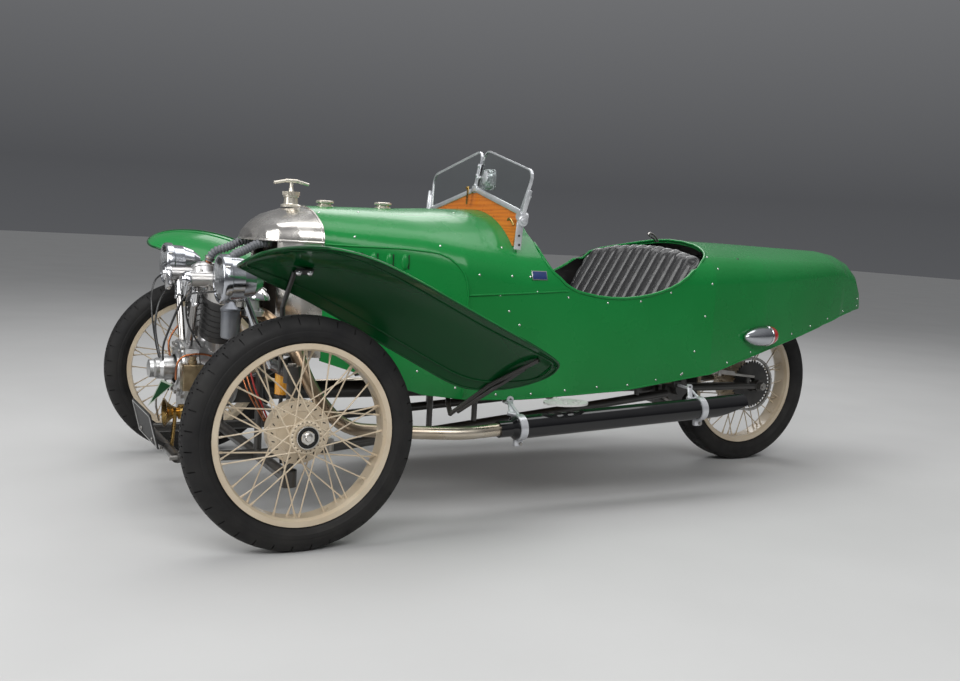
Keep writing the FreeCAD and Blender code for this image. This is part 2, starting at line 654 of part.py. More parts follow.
# Length and thickness of each leaf, the longest at the bottom
LEAVES = ((SPRING_LENGTH, 9), (330, 8), (230, 8))
springs = []
for side in (-1, 1):
    stack = 0
    leaves = []
    for length, thickness in LEAVES:
        leaves.append(Part.makeBox(length, 40, thickness + 0.1, V(0, -20, stack)))
        stack += thickness
    spring = leaves[0].multiFuse(leaves[1:])
    spring_root = V(SPRING_X, side * FORK_Y, SPRING_FOOT + gap)
    spring.Placement = FreeCAD.Placement(spring_root, FreeCAD.Rotation(Y, SPRING_LEAN))
    springs.append(shaped("leaf_pack", spring))
node(cut("rear_springs", group("leaf_packs", springs), doc.getObject("bevel_box")), "rear_springs")

# --- Final drive: a sprocket on the rear wheel and its chain from the bevel box ---------------------------
CHAIN_WIDTH, CHAIN_DEPTH = 12, 12


def belt(front, front_radius, rear, rear_radius):
    """The outline of a belt round two circles in the X-Z plane."""
    span = rear - front
    tilt = math.acos((front_radius - rear_radius) / span.Length)
    base = math.atan2(span.z, span.x)

    def touch(centre, size, angle):
        return centre + V(size * math.cos(base + angle), 0, size * math.sin(base + angle))

    a, b = touch(front, front_radius, tilt), touch(rear, rear_radius, tilt)
    c, d = touch(rear, rear_radius, -tilt), touch(front, front_radius, -tilt)
    far = touch(rear, rear_radius, 0)
    near = touch(front, front_radius, math.pi)
    return Part.Face(Part.Wire([
        Part.LineSegment(a, b).toShape(), Part.Arc(b, far, c).toShape(),
        Part.LineSegment(c, d).toShape(), Part.Arc(d, near, a).toShape()]))


chain_front = V(PIVOT_X, -value("chain_offset") - CHAIN_WIDTH / 2, BEVEL_Z)
chain_rear = V(value(rear_axle_x), chain_front.y, value("tyre_radius"))
chain_inner = value("sprocket_radius") + 5
chain = belt(chain_front, PINION_RADIUS + gap + CHAIN_DEPTH, chain_rear, chain_inner + CHAIN_DEPTH)
chain = chain.cut(belt(chain_front, PINION_RADIUS + gap, chain_rear, chain_inner))
node(shaped("drive_chain", chain.extrude(V(0, CHAIN_WIDTH, 0))), "drive_chain")
disc_out, disc_in = "-chain_offset-3", "-chain_offset+3"
# Along the axle, radius: the toothed disc, then the sleeve that bolts to the hub's flange
SPROCKET = ((disc_out, 29.3), (disc_out, "sprocket_radius-7"), (disc_in, "sprocket_radius-7"), (disc_in, 66),
            (-46.3, 46), (-46.3, 29.3))
sprocket = turned("sprocket_disc", SPROCKET, (rear_axle_x, 0, "tyre_radius"), Y)
TEETH = 40
# Radius below the sprocket's, and the angle from the tooth's middle
TOOTH = ((8, -0.05), (0, -0.02), (0, 0.02), (8, 0.05))
teeth = []
for i in range(TEETH):
    middle = 2 * math.pi * i / TEETH
    corners = []
    for below, off in TOOTH:
        reach = value("sprocket_radius") - below
        corners.append(V(chain_rear.x + reach * math.cos(middle + off), value(disc_out),
                         chain_rear.z + reach * math.sin(middle + off)))
    teeth.append(Part.Face(Part.makePolygon(corners + corners[:1])).extrude(V(0, 6, 0)))
node(joined("sprocket", [sprocket, shaped("teeth", Part.makeCompound(teeth))]), "sprocket")

# --- Engine: a V-twin with its crankshaft along the car ---------------------------------------------------
ENGINE_X = -1335
DRUM = ((-70, 0), (-70, "crankcase_radius-10"), (-60, "crankcase_radius"), (50, "crankcase_radius"),
        (62, "crankcase_radius-12"), (62, 0))
crankcase = [turned("crank_drum", DRUM, (ENGINE_X, 0, "crank_height"), X)]
TIMING = ((-95, -70), (95, -70), (112, 20), (92, 92), (40, 108), (-40, 108), (-92, 92), (-112, 20))
crankcase.append(plate("timing_chest", TIMING, 42, (ENGINE_X - 108, 0, "crank_height"), UPRIGHT))
crankcase.append(block("sump", (96, 130, 70), (ENGINE_X - 100, -65, "crank_height-128")))
lean_y, lean_z = "sin(vee_half_angle*1deg)", "cos(vee_half_angle*1deg)"


def along_cylinder(side, reach, x=ENGINE_X):
    return (x, f"{side}({reach})*{lean_y}", f"crank_height+({reach})*{lean_z}")


# Part of a cylinder, where it starts and ends from the crankshaft, radius
CYLINDER = (
    ("barrel", 150, "cylinder_reach-40", "cylinder_radius"),
    ("head", "cylinder_reach-42", "cylinder_reach", "cylinder_radius+7"),
    ("rocker_box", "cylinder_reach-4", "cylinder_reach+40", 44),
)
cylinders = []
rods = []
for side in ("-", ""):
    crankcase.append(rod("cylinder_foot", along_cylinder(side, 60), along_cylinder(side, 150 - gap), 36))
    stack = []
    for label, low, high, radius in CYLINDER:
        stack.append(rod(label, along_cylinder(side, low), along_cylinder(side, high), radius))
    nose_front = along_cylinder(side, "cylinder_reach+16", ENGINE_X - 112)
    stack.append(rod("rocker_nose", nose_front, along_cylinder(side, "cylinder_reach+16"), 22))
    cylinders.append(joined("cylinder", stack))
    for shift in (-13, 13):
        low = (ENGINE_X - 88, f"{side}({shift}+46)", "crank_height+108-10")
        high = along_cylinder(side, "cylinder_reach-6", ENGINE_X - 88)
        high = (high[0], f"{high[1]}{side or '+'}({shift})*0.9", high[2])
        rods.append(rod("pushrod_tube", low, high, 8))
engine = joined("crankcase_solid", crankcase)
node(engine, "crankcase")
vee = group("cylinders", cylinders)
node(vee, "cylinders")
node(cut("pushrod_tubes", group("tubes", rods), joined("engine_mass", [engine] + cylinders)), "pushrod_tubes")
MAGNETO = ((0, 0), (0, 36), (48, 36), (58, 28), (70, 28), (70, 0))
node(turned("magneto", MAGNETO, (ENGINE_X - 108 - gap, 22, "crank_height+18"), -X), "magneto")
carb = [rod("carb_body", (ENGINE_X + 30, 0, 640), (ENGINE_X + 95, 0, 640), 24),
        rod("float_bowl", (ENGINE_X + 60, 0, 575), (ENGINE_X + 60, 0, 650), 21),
        rod("inlet_tract", (ENGINE_X + 20, -75, 648), (ENGINE_X + 20, 75, 648), 17)]
node(cut("carburettor", joined("carb_solid", carb), vee), "carburettor")

# Way of a hose from a cylinder head up to the header tank: along the car, out, up
HOSE_WAY = ((-1330, 128, 742), (-1322, 126, 790), (-1268, 105, 808), (-1222, 100, 836), (-1176, 100, 836))
HOSE_RADIUS = 13


def both_sides(label, way, radius):
    """The same pipe down the left and the right side."""
    return [shaped(label, pipe([(x, y * side, z) for x, y, z in way], radius)) for side in (-1, 1)]


hose_set = group("hoses", both_sides("hose", HOSE_WAY, HOSE_RADIUS))
node(cut("coolant_hoses", hose_set, joined("hose_ends", [vee, radiator])), "coolant_hoses")

# --- Exhaust: a pipe down each side to a long silencer carried under the body -----------------------------
PIPE_WAY = ((-1300, 130, 620), (-1240, 210, 622), (-1185, 330, 560), (-1130, 400, 400), (-1040, 432, 290),
            (-850, 452, 276), (-655, value("silencer_offset"), 273), (-537, value("silencer_offset"), 281))
pipes = group("pipes", both_sides("pipe", PIPE_WAY, value("pipe_radius")))
node(cut("exhaust_pipes", pipes, vee), "exhaust_pipes")
SILENCER_FRONT, SILENCER_REAR = V(-537, 0, 281), V(480, 0, 334)
rise = SILENCER_REAR - SILENCER_FRONT
slope = V(rise.x, 0, rise.z).normalize()
# Along the silencer, radius: a narrow sleeve, the long drum and its open end
SILENCER = ((gap, 10), (gap, 27), (45, 27), (58, "silencer_radius"), ("silencer_length", "silencer_radius"),
            ("silencer_length", "silencer_radius-3"), ("silencer_length-160", "silencer_radius-3"),
            ("silencer_length-160", 10))
CLAMP = ((0, "silencer_radius+seat_gap"), (0, "silencer_radius+5"), (26, "silencer_radius+5"),
         (26, "silencer_radius+seat_gap"))
CLAMPS_AWAY = (64, 805)
HANGER_RADIUS = 5
silencers, clamps = [], []
for side in ("-", ""):
    tube_front = (SILENCER_FRONT.x, f"{side}silencer_offset", SILENCER_FRONT.z)
    tube = turned("silencer_tube", SILENCER, tube_front, slope)
    wedge_corner = (385, f"{side}silencer_offset-60", 132)
    wedge = block("tail_cut", (260, 120, 160), wedge_corner, FreeCAD.Rotation(Y, -20))
    silencers.append(cut("silencer", tube, wedge))
    for away in CLAMPS_AWAY:
        middle = SILENCER_FRONT + slope * away
        ring = turned("clamp", CLAMP, (middle.x, f"{side}silencer_offset", middle.z), slope)
        hanger_x, run_z = middle.x + 13, min(middle.z + 65, 386)
        # A hanger runs from the top of its clamp, in under the sill, and up to the cross member
        bends = ((hanger_x, f"{side}(silencer_offset-6)", middle.z + 40), (hanger_x, f"{side}446", run_z),
                 (hanger_x, f"{side}390", run_z + 2), (hanger_x, f"{side}374", 388))
        hangers = [rod("hanger", start, stop, HANGER_RADIUS) for start, stop in zip(bends, bends[1:])]
        clamps.append(joined("clamp_set", [ring] + hangers))
node(group("silencers", silencers), "silencers")
tubes_mass = joined("silencer_mass", silencers + [chassis])
node(cut("silencer_brackets", group("clamps", clamps), tubes_mass), "silencer_brackets")

# --- Inside the body: floor, fascia board and the two-seat bench ------------------------------------------
FLOOR_TOP, FLOOR_FRONT, FLOOR_REAR = 415, -800, 230
cabin = hull(BODY_STATIONS, WALL + gap, 50)
boards = Part.makeBox(FLOOR_REAR - FLOOR_FRONT, 2 * FAR, value("floor_thickness"),
                      V(FLOOR_FRONT, -FAR, FLOOR_TOP - value("floor_thickness")))
node(shaped("floor", boards.common(cabin)), "floor")

fascia = Part.makeBox(12, 2 * FAR, 400, V(RIM_FRONT - 22, -FAR, 800)).common(cabin)
node(shaped("fascia", fascia), "fascia")

CUSHION_FRONT = -345
node(block("seat_cushion", ("cushion_length", "seat_width", "cushion_height"),
           (CUSHION_FRONT, "-seat_width/2", FLOOR_TOP + gap)), "seat_cushion")
BACKREST_LEAN = 30
# How far outside the cushion's sides, and up the leaning face
BACKREST = ((8, 0), (8, 315), (-8, 388), (-55, 430), (-180, 456), (-320, 470))
back_half = [(f"(seat_width/2+({out}))", up) for out, up in BACKREST]
back_points = [(f"-{y}", up) for y, up in back_half] + list(reversed(back_half))
back_turn = FreeCAD.Rotation(Y, BACKREST_LEAN) * UPRIGHT
node(plate("seat_back", back_points, "backrest_thickness",
           (f"{CUSHION_FRONT}+cushion_length+seat_gap", 0, FLOOR_TOP + 78), back_turn), "seat_back")

# --- Windscreen: two panes in thin frames on rails that rise to the middle, above a shaped wooden board ---
GLASS_X, GLASS_Z = -416, 960
lean = FreeCAD.Rotation(Y, value("screen_lean")) * UPRIGHT
# A pane's corners: out from the middle, up the glass, corner radius
FOOT_Y = value("screen_half_width")
PANE = ((5, 95, 6), (FOOT_Y, 17, 16), (FOOT_Y + 38, 158, 38), (5, 247, 34))


def drawn_in(corners, by):
    """The corners with every edge moved inwards, for an outline that runs clockwise."""
    moved = []
    for i, (y, up, radius) in enumerate(corners):
        ways = []
        for other, sign in ((corners[i - 1], -1), (corners[(i + 1) % len(corners)], 1)):
            ways.append(V(sign * (other[0] - y), sign * (other[1] - up), 0).normalize())
        before, after = ways
        turn = before.cross(after).z
        shift = (after - before) * (by / turn)
        moved.append((y + shift.x, up + shift.y, max(radius - by, 2)))
    return moved


def rounded(corners, steps=4):
    """An outline with each corner's round drawn as short chords."""
    points = []
    for i, (y, up, radius) in enumerate(corners):
        here = V(y, up, 0)
        back = (V(*corners[i - 1][:2], 0) - here).normalize()
        on = (V(*corners[(i + 1) % len(corners)][:2], 0) - here).normalize()
        half = back.getAngle(on) / 2
        centre = here + (back + on).normalize() * (radius / math.sin(half))
        run = radius / math.tan(half)
        first, last = here + back * run - centre, here + on * run - centre
        sweep = math.pi - 2 * half
        for step in range(steps + 1):
            share = step / steps
            spoke = first * math.sin((1 - share) * sweep) + last * math.sin(share * sweep)
            point = centre + spoke * (1 / math.sin(sweep))
            points.append((round(point.x, 2), round(point.y, 2)))
    return points


def glazing(label, side, corners, thickness, depth):
    """A plate in the leaning plane of the glass, its front a depth ahead of that plane."""
    points = [(side * y, up) for y, up in rounded(corners)]
    if side < 0:
        points.reverse()
    front = lean.multVec(Z) * -depth
    return plate(label, points, thickness, (GLASS_X + front.x, 0, GLASS_Z + front.z), lean)


def on_glass(y, up, ahead=0):
    """A spot on the leaning plane."""
    spot_there = V(GLASS_X, 0, GLASS_Z) + lean.multVec(V(y, up, -ahead))
    return (round(spot_there.x, 2), round(spot_there.y, 2), round(spot_there.z, 2))


EDGE, RAIL = 5, 14
frame_parts, panes = [], []
for side in (-1, 1):
    outer = glazing("pane_frame", side, PANE, 10, 5)
    hole = glazing("pane_hole", side, drawn_in(PANE, EDGE), 20, 10)
    frame_parts.append(cut("pane_edge", outer, hole))
    panes.append(glazing("pane", side, drawn_in(PANE, EDGE + gap), "glass_thickness", 3))
    foot_y = FOOT_Y * side
    rail_points = [(5 * side, 90), (foot_y, 11), (foot_y, 11 + RAIL), (5 * side, 90 + RAIL)]
    if side < 0:
        rail_points.reverse()
    rail_front = on_glass(0, 0, RAIL / 2)
    frame_parts.append(plate("lower_rail", rail_points, RAIL, rail_front, lean))
    pivot_y = foot_y + 13 * side
    frame_parts.append(rod("screen_pivot", on_glass(pivot_y, 6, 16), on_glass(pivot_y, 6, -16), 15))
    frame_parts.append(rod("screen_clamp", on_glass(pivot_y, 10), on_glass(foot_y + 31 * side, 76), 8))
    frame_parts.append(block("screen_foot", (6, 26, 100), (GLASS_X - 9, pivot_y - 13, 868)))
BRACKET = ((-11, 84), (11, 84), (11, 190), (-11, 190))
frame_parts.append(plate("centre_bracket", BRACKET, 16, on_glass(0, 0, 8), lean))
frame_solid = cut("screen_free", joined("screen_solid", frame_parts), group("screen_panes", panes))
node(cut("windscreen_frame", frame_solid, body_mass), "windscreen_frame")
node(group("windscreen_glass", panes), "windscreen_glass")
BOARD = (("-screen_half_width+2", 12), (0, 91), ("screen_half_width-2", 12), ("screen_half_width-2", -95),
         ("-screen_half_width+2", -95))
board = plate("board_plate", BOARD, 10, on_glass(0, 0, 5), lean)
board_free = cut("board_free", board, body_mass)
node(cut("screen_board", board_free, frame_solid), "screen_board")

# --- Wings: a blade over each front wheel, its outer edge high and its inner edge low ---------------------
# Place along the car, inner edge (out, up), outer edge (out, up), rise of the middle above the chord
WING_STATIONS = (
    (-1428, 606, 786, 672, 800, 2),
    (-1405, 572, 780, 704, 820, 10),
    (-1362, 545, 762, 728, 838, 18),
    (-1300, 525, 734, 737, 848, 22),
    (-1210, 512, 698, 740, 850, 26),
    (-1090, 503, 636, 739, 828, 26),
    (-960, 497, 566, 736, 774, 24),
    (-820, 492, 492, 731, 708, 22),
    (-690, 490, 424, 727, 646, 20),
    (-590, 500, 412, 720, 602, 18),
    (-500, 530, 424, 706, 558, 14),
    (-440, 572, 452, 682, 526, 8),
    (-418, 610, 476, 650, 506, 2),
)
WING_THICKNESS = 4


def blade_section(station):
    x, inner_y, inner_z, outer_y, outer_z, bulge = station
    inner, outer = V(x, -inner_y, inner_z), V(x, -outer_y, outer_z)
    lift = X.cross(outer - inner).normalize()
    lift = lift if lift.z > 0 else -lift
    down = -lift * WING_THICKNESS
    middle = (inner + outer) / 2 + lift * bulge
    return Part.Wire(chain_of([
        (inner, middle, outer), (outer, outer + down), (outer + down, middle + down, inner + down),
        (inner + down, inner)]))


blade = Part.makeLoft([blade_section(station) for station in WING_STATIONS], True, True)
wing = node(shaped("wing_left", blade), "wing_left")
node(mirrored("wing_right", wing), "wing_right")
STAY_X = -1260
stays = []
for side in ("-", ""):
    bend = (STAY_X, f"{side}490", 668)
    stays.append(joined("front_stay", [
        rod("stay_post", (STAY_X, f"{side}488", "tyre_radius+pillar_reach-6"), bend, 7),
        rod("stay_arm", bend, (STAY_X, f"{side}587", 774), 7)]))
    root, below = (-640, f"{side}330", 386), (-645, f"{side}348", 342)
    elbow, knee = (-671, f"{side}420", 322), (-592, f"{side}528", 432)
    stays.append(joined("rear_stay", [
        rod("stay_root", root, below, 8),
        rod("stay_root", below, elbow, 8),
        rod("stay_strap", elbow, knee, 7),
        rod("stay_strap", knee, (-504, f"{side}668", 529), 7),
        rod("stay_bar", (-655, f"{side}438", 332), (-516, f"{side}606", 494), 7)]))
wing_mass = group("wings_mass", [wing, doc.getObject("wing_right")])
stay_free = cut("stay_free", group("stays", stays), wing_mass)
frame_mass = joined("frame_mass", [chassis, doc.getObject("front_axle")])
node(cut("wing_stays", stay_free, frame_mass), "wing_stays")

# --- Lamps, horn, number plate, steps ---------------------------------------------------------------------
LAMP_X, LAMP_Z = -1408, 735
LAMP_BOWL = ((0, 0), (0, "lamp_radius"), (12, "lamp_radius"), (16, "lamp_radius-4"), (50, "lamp_radius-6"),
             (85, "lamp_radius-18"), (110, "lamp_radius-38"), (120, 0))
lamps = []
for side in ("-", ""):
    lamp_y = f"{side}lamp_offset"
    bowl = turned("lamp_bowl", LAMP_BOWL, (LAMP_X, lamp_y, LAMP_Z), X)
    post_foot = ("front_axle_x-12", lamp_y, "tyre_radius+pillar_reach-4")
    lamps.append(joined("lamp", [bowl, rod("lamp_post", (LAMP_X + 55, lamp_y, LAMP_Z - 30), post_foot, 11)]))
node(cut("headlamps", group("lamps", lamps), doc.getObject("front_axle")), "headlamps")
HORN_Y, HORN_Z = -100, 296
HORN = ((0, 40), (0, 46), (8, 34), (24, 20), (40, 14), (44, 24), (82, 24), (82, 0), (38, 0), (20, 16))
horn = turned("horn_bell", HORN, (-1505, HORN_Y, HORN_Z), X)
horn_post = rod("horn_post", (-1470, HORN_Y, HORN_Z), (-1480, HORN_Y, "tyre_radius-pillar_reach+10"), 6)
node(cut("horn", joined("horn_solid", [horn, horn_post]), chassis), "horn")
PLATE_TILT = 14
plate_corner = (-1531, -150, f"{pillar_low}+10")
plate_block = block("plate_block", (4, 300, 112), plate_corner, FreeCAD.Rotation(Y, -PLATE_TILT))
plate_arms = []
for y in (-90, 90):
    arm_root = ("front_axle_x-252", y, f"{pillar_low}+8")
    plate_arms.append(rod("plate_arm", (-1540, y, f"{pillar_low}+32"), arm_root, 6))
node(cut("number_plate", joined("plate_solid", [plate_block] + plate_arms), chassis), "number_plate")

tail_mass = shaped("tail_mass", hull(REAR_STATIONS, -gap))
# Along the lamp from its pointed front to the rear of its lens, radius
TAIL_LAMP = ((0, 0), (30, 9), (65, 23), (100, 34), (135, 39), (175, 38), (175, 30), (190, 26), (201, 12),
             (204, 0))
marker = []
for side in (-1, 1):
    along = V(300, -94 * side, 0).normalize()
    marker.append(turned("tail_lamp", TAIL_LAMP, (594.6, 376.5 * side, 566), along))
node(cut("tail_lamps", group("markers", marker), tail_mass), "tail_lamps")

STEP_X, STEP_Y, STEP_Z = -280, 492, 356
# Place of each opening from the middle of the tread, along the car and outwards, and its radius
TREAD_HOLES = ((-48, 0, 13), (-18, 28, 13), (22, 28, 13), (50, 0, 12), (4, -12, 12))
OVAL_POINTS = 18
tread_points = []
for i in range(OVAL_POINTS):
    tread_points.append((f"80*cos({i * 360 / OVAL_POINTS}deg)", f"60*sin({i * 360 / OVAL_POINTS}deg)"))
steps = []
for side in ("-", ""):
    tread = plate("tread", tread_points, 7, (STEP_X, f"{side}{STEP_Y}", STEP_Z))
    holes = []
    for along, out, radius in TREAD_HOLES:
        hole_low = (STEP_X + along, f"{side}({STEP_Y + out})", STEP_Z - 6)
        holes.append(rod("tread_hole", hole_low, hole_low[:2] + (STEP_Z + 14,), radius))
    arm = rod("step_arm", (STEP_X, f"{side}452", STEP_Z + 3), (STEP_X, f"{side}255", STEP_Z + 6), 8)
    drop = rod("step_drop", (STEP_X, f"{side}258", STEP_Z + 4), (STEP_X, f"{side}258", FLOOR_TOP), 8)
    steps.append(joined("step", [cut("tread_open", tread, group("tread_holes", holes)), arm, drop]))
floor_mass = shaped("floor_mass", Part.makeBox(800, 1000, 60, V(-700, -500, CROSS_TOP)))
node(cut("step_plates", group("steps", steps), floor_mass), "step_plates")

# --- Steering: a raked column to the right of the middle, and its wheel -----------------------------------
WHEEL_FROM_SIDE = 225
COLUMN_FOOT = V(-1200, 200, 325)
COLUMN_TOP = V(-190, value("body_half_width") - WHEEL_FROM_SIDE, 775)
column_way = (COLUMN_TOP - COLUMN_FOOT).normalize()
near_top, shaft_top = COLUMN_TOP - column_way * 38, COLUMN_TOP + column_way * 10
SHAFT_RADIUS = 8
column = [rod("column_tube", tuple(COLUMN_FOOT), tuple(near_top), 15),
          rod("column_shaft", tuple(near_top), tuple(shaft_top), SHAFT_RADIUS),
          block("steering_box", (90, 70, 90), (-1222, 165, 270)),
          block("column_foot", (22, 40, 40), (-1229, 180, 300))]
POST_X = -520
post_top = COLUMN_FOOT + column_way * ((POST_X - COLUMN_FOOT.x) / column_way.x)
column_post = rod("column_stay", tuple(post_top), (POST_X, post_top.y, FLOOR_TOP + gap), 9)
node(cut("steering_column", joined("column_solid", column + [column_post]), frame_mass), "steering_column")
wheel_turn = FreeCAD.Rotation(Z, column_way)
grip = doc.addObject("Part::Torus", "grip")
grip.setExpression("Radius1", bound("steering_rim_radius"))
grip.setExpression("Radius2", bound("steering_grip_radius"))
arms = []
for bearing in (45, 135, 225, 315):
    grip_end = (f"steering_rim_radius*cos({bearing}deg)", f"steering_rim_radius*sin({bearing}deg)", 0)
    arms.append(rod("wheel_arm", (0, 0, -6), grip_end, 7))
boss = rod("wheel_boss", (0, 0, -32), (0, 0, 14), 26)
wheel_solid = joined("wheel_solid", [grip, boss] + arms)
shaft_bore = rod("shaft_bore", (0, 0, -40), (0, 0, 20), f"{SHAFT_RADIUS}+running_gap")
bored = cut("wheel_bored", wheel_solid, shaft_bore)
node(place(group("steering_wheel", [bored]), tuple(COLUMN_TOP), wheel_turn), "steering_wheel")


def main():
    doc.recompute()
    for item in doc.Objects:
        if "Invalid" in item.State or "Error" in item.State:
            raise RuntimeError(f"{item.Name} failed: {item.State}")
    os.makedirs("parts", exist_ok=True)
    for item in nodes:
        shape = item.Shape
        if shape.isNull() or not shape.isValid():
            raise RuntimeError(f"{item.Label} has no valid shape")
        print(f"{item.Label}: {len(shape.Solids)} solids, {shape.Volume / 1e6:.3f} litres")
    for item in nodes:
        item.Shape.exportStep(f"parts/{item.Label}.step")


main()
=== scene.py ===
# %% [markdown]
# # A vintage three wheeled car
# The metal skeleton of this car comes from CAD as fixed solids.  This lesson dresses it: each CAD piece gets
# a finish, and finer pieces such as tyre tread, rivets and pleated leather are modelled here and ride on the
# same bodies, so that the wheels still turn and the front wheels still steer.

# %% Load the frame
import json
import math

import bmesh
import bpy
from mathutils import Matrix, Vector
from mathutils.bvhtree import BVHTree


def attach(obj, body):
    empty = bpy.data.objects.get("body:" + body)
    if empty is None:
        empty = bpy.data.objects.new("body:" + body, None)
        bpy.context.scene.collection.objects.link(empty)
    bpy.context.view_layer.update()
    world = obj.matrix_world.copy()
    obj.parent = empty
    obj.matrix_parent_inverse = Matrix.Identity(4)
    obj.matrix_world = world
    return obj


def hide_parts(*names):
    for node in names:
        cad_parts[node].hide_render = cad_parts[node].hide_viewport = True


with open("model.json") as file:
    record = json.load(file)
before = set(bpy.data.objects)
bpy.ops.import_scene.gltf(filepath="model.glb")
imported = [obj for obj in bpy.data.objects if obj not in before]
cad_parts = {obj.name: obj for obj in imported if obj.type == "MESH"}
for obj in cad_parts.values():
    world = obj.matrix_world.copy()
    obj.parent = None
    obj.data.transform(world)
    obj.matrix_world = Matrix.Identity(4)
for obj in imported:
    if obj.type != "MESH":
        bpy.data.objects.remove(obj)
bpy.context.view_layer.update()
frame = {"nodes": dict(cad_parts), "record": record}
scene = bpy.context.scene
print("CAD nodes:", len(frame["nodes"]))

# %% [markdown]
# ## Studio
# A plain pale floor and large soft lamps show paint and metal evenly.  The camera stands low beside the left
# front wheel, tilted a little, with a lens of normal length.  Metal needs something to reflect, so the world
# is a soft gradient: bright above, darker at the horizon, and pale grey again where the floor would be.

# %% Camera
CAMERA_PLACE = Vector((-2.162, -3.364, 0.928))
YAW, PITCH, ROLL = math.radians(28.28), math.radians(-6.29), math.radians(3.30)
ahead = Vector((math.sin(YAW) * math.cos(PITCH), math.cos(YAW) * math.cos(PITCH), math.sin(PITCH)))
level = Vector((math.cos(YAW), -math.sin(YAW), 0))
upward = level.cross(ahead)
right = level * math.cos(ROLL) + upward * math.sin(ROLL)
up = upward * math.cos(ROLL) - level * math.sin(ROLL)
camera = bpy.data.objects.new("camera", bpy.data.cameras.new("camera"))
camera.data.lens = 39.02
camera.data.sensor_width = 36
camera.matrix_world = Matrix.Translation(CAMERA_PLACE) @ Matrix((right, up, -ahead)).transposed().to_4x4()
scene.collection.objects.link(camera)
scene.camera = camera
scene.view_settings.view_transform = "Standard"
print("camera height:", CAMERA_PLACE.z)

# %% World: a soft studio dome
world = bpy.data.worlds.new("studio")
world.use_nodes = True
sky = world.node_tree
background = sky.nodes["Background"]
background.inputs["Strength"].default_value = 0.4
sky_way = sky.nodes.new("ShaderNodeTexCoord")
sky_parts = sky.nodes.new("ShaderNodeSeparateXYZ")
sky_ramp = sky.nodes.new("ShaderNodeValToRGB")
sky_ramp.color_ramp.elements[0].position = 0.30
sky_ramp.color_ramp.elements[0].color = (0.42, 0.43, 0.45, 1)
sky_ramp.color_ramp.elements[1].position = 0.80
sky_ramp.color_ramp.elements[1].color = (0.80, 0.81, 0.83, 1)
horizon = sky_ramp.color_ramp.elements.new(0.52)
horizon.color = (0.20, 0.205, 0.22, 1)
sky_scale = sky.nodes.new("ShaderNodeMath")
sky_scale.operation = "MULTIPLY_ADD"
sky_scale.inputs[1].default_value = 0.5
sky_scale.inputs[2].default_value = 0.5
sky.links.new(sky_way.outputs["Generated"], sky_parts.inputs[0])
sky.links.new(sky_parts.outputs["Z"], sky_scale.inputs[0])
sky.links.new(sky_scale.outputs[0], sky_ramp.inputs["Fac"])
sky.links.new(sky_ramp.outputs["Color"], background.inputs["Color"])
scene.world = world
print("sky tones:", len(sky_ramp.color_ramp.elements))

# %% A soft lamp
def lamp(name, place, aim, size, power):
    """A rectangular soft lamp that looks at a point."""
    light = bpy.data.lights.new(name, "AREA")
    light.shape = "RECTANGLE"
    light.size, light.size_y = size
    light.energy = power
    holder = bpy.data.objects.new(name, light)
    facing = (Vector(aim) - Vector(place)).to_track_quat("-Z", "Y").to_matrix().to_4x4()
    holder.matrix_world = Matrix.Translation(place) @ facing
    scene.collection.objects.link(holder)

# %% Four lamps
lamp("key", (-2.2, -4.6, 4.2), (0, 0, 0.5), (5.0, 2.2), 190)
lamp("front", (-5.4, -0.8, 2.6), (-1.2, 0, 0.5), (1.6, 3.0), 95)
lamp("back", (2.6, 4.6, 4.6), (0.3, 0, 0.6), (4.0, 2.0), 80)
lamp("top", (0, 0.4, 4.8), (0, 0, 0), (6.0, 3.0), 130)

# %% Floor
floor_bm = bmesh.new()
bmesh.ops.create_grid(floor_bm, x_segments=1, y_segments=1, size=30)
floor_mesh = bpy.data.meshes.new("studio_floor")
floor_bm.to_mesh(floor_mesh)
floor_bm.free()
floor = bpy.data.objects.new("studio_floor", floor_mesh)
scene.collection.objects.link(floor)
print("stage:", floor.name)

# %% [markdown]
# ## Small surface effects
# Paint, metal, rubber and leather are never one even colour.  Three node groups give what they share: a soft
# mottle that shifts colour and gloss, a fine grain that feeds a bump, and a mask that gathers dust low on the
# car.  Each is built once and placed in many finishes with other values, all on Object coordinates, because
# every piece sits at the origin.

# %% Node helpers
def effect_group(name, takes, gives):
    """An empty node group with named inputs and outputs."""
    group = bpy.data.node_groups.new(name, "ShaderNodeTree")
    for label, default in takes:
        group.interface.new_socket(label, in_out="INPUT",
                                   socket_type="NodeSocketFloat").default_value = default
    for label in gives:
        group.interface.new_socket(label, in_out="OUTPUT", socket_type="NodeSocketFloat")
    return group, group.nodes.new("NodeGroupInput"), group.nodes.new("NodeGroupOutput")


def add(tree, kind, link_in=(), **values):
    """A node with some of its sockets set and others linked: link_in is (socket, output) pairs."""
    made = tree.nodes.new(kind)
    for name, value in values.items():
        setattr(made, name, value)
    for socket, source in link_in:
        if isinstance(source, (int, float, tuple)):
            made.inputs[socket].default_value = source
        else:
            tree.links.new(source, made.inputs[socket])
    return made

# %% Mottle, grain and dust
mottle, given, out = effect_group("mottle", (("Scale", 6.0), ("Low", 0.0), ("High", 1.0)), ("Value",))
where = add(mottle, "ShaderNodeTexCoord").outputs["Object"]
cloud = add(mottle, "ShaderNodeTexNoise",
            (("Vector", where), ("Scale", given.outputs["Scale"]), ("Detail", 5.0)))
spread = add(mottle, "ShaderNodeMapRange",
             (("Value", cloud.outputs["Fac"]), ("From Min", 0.3), ("From Max", 0.7),
              ("To Min", given.outputs["Low"]), ("To Max", given.outputs["High"])))
mottle.links.new(spread.outputs["Result"], out.inputs["Value"])

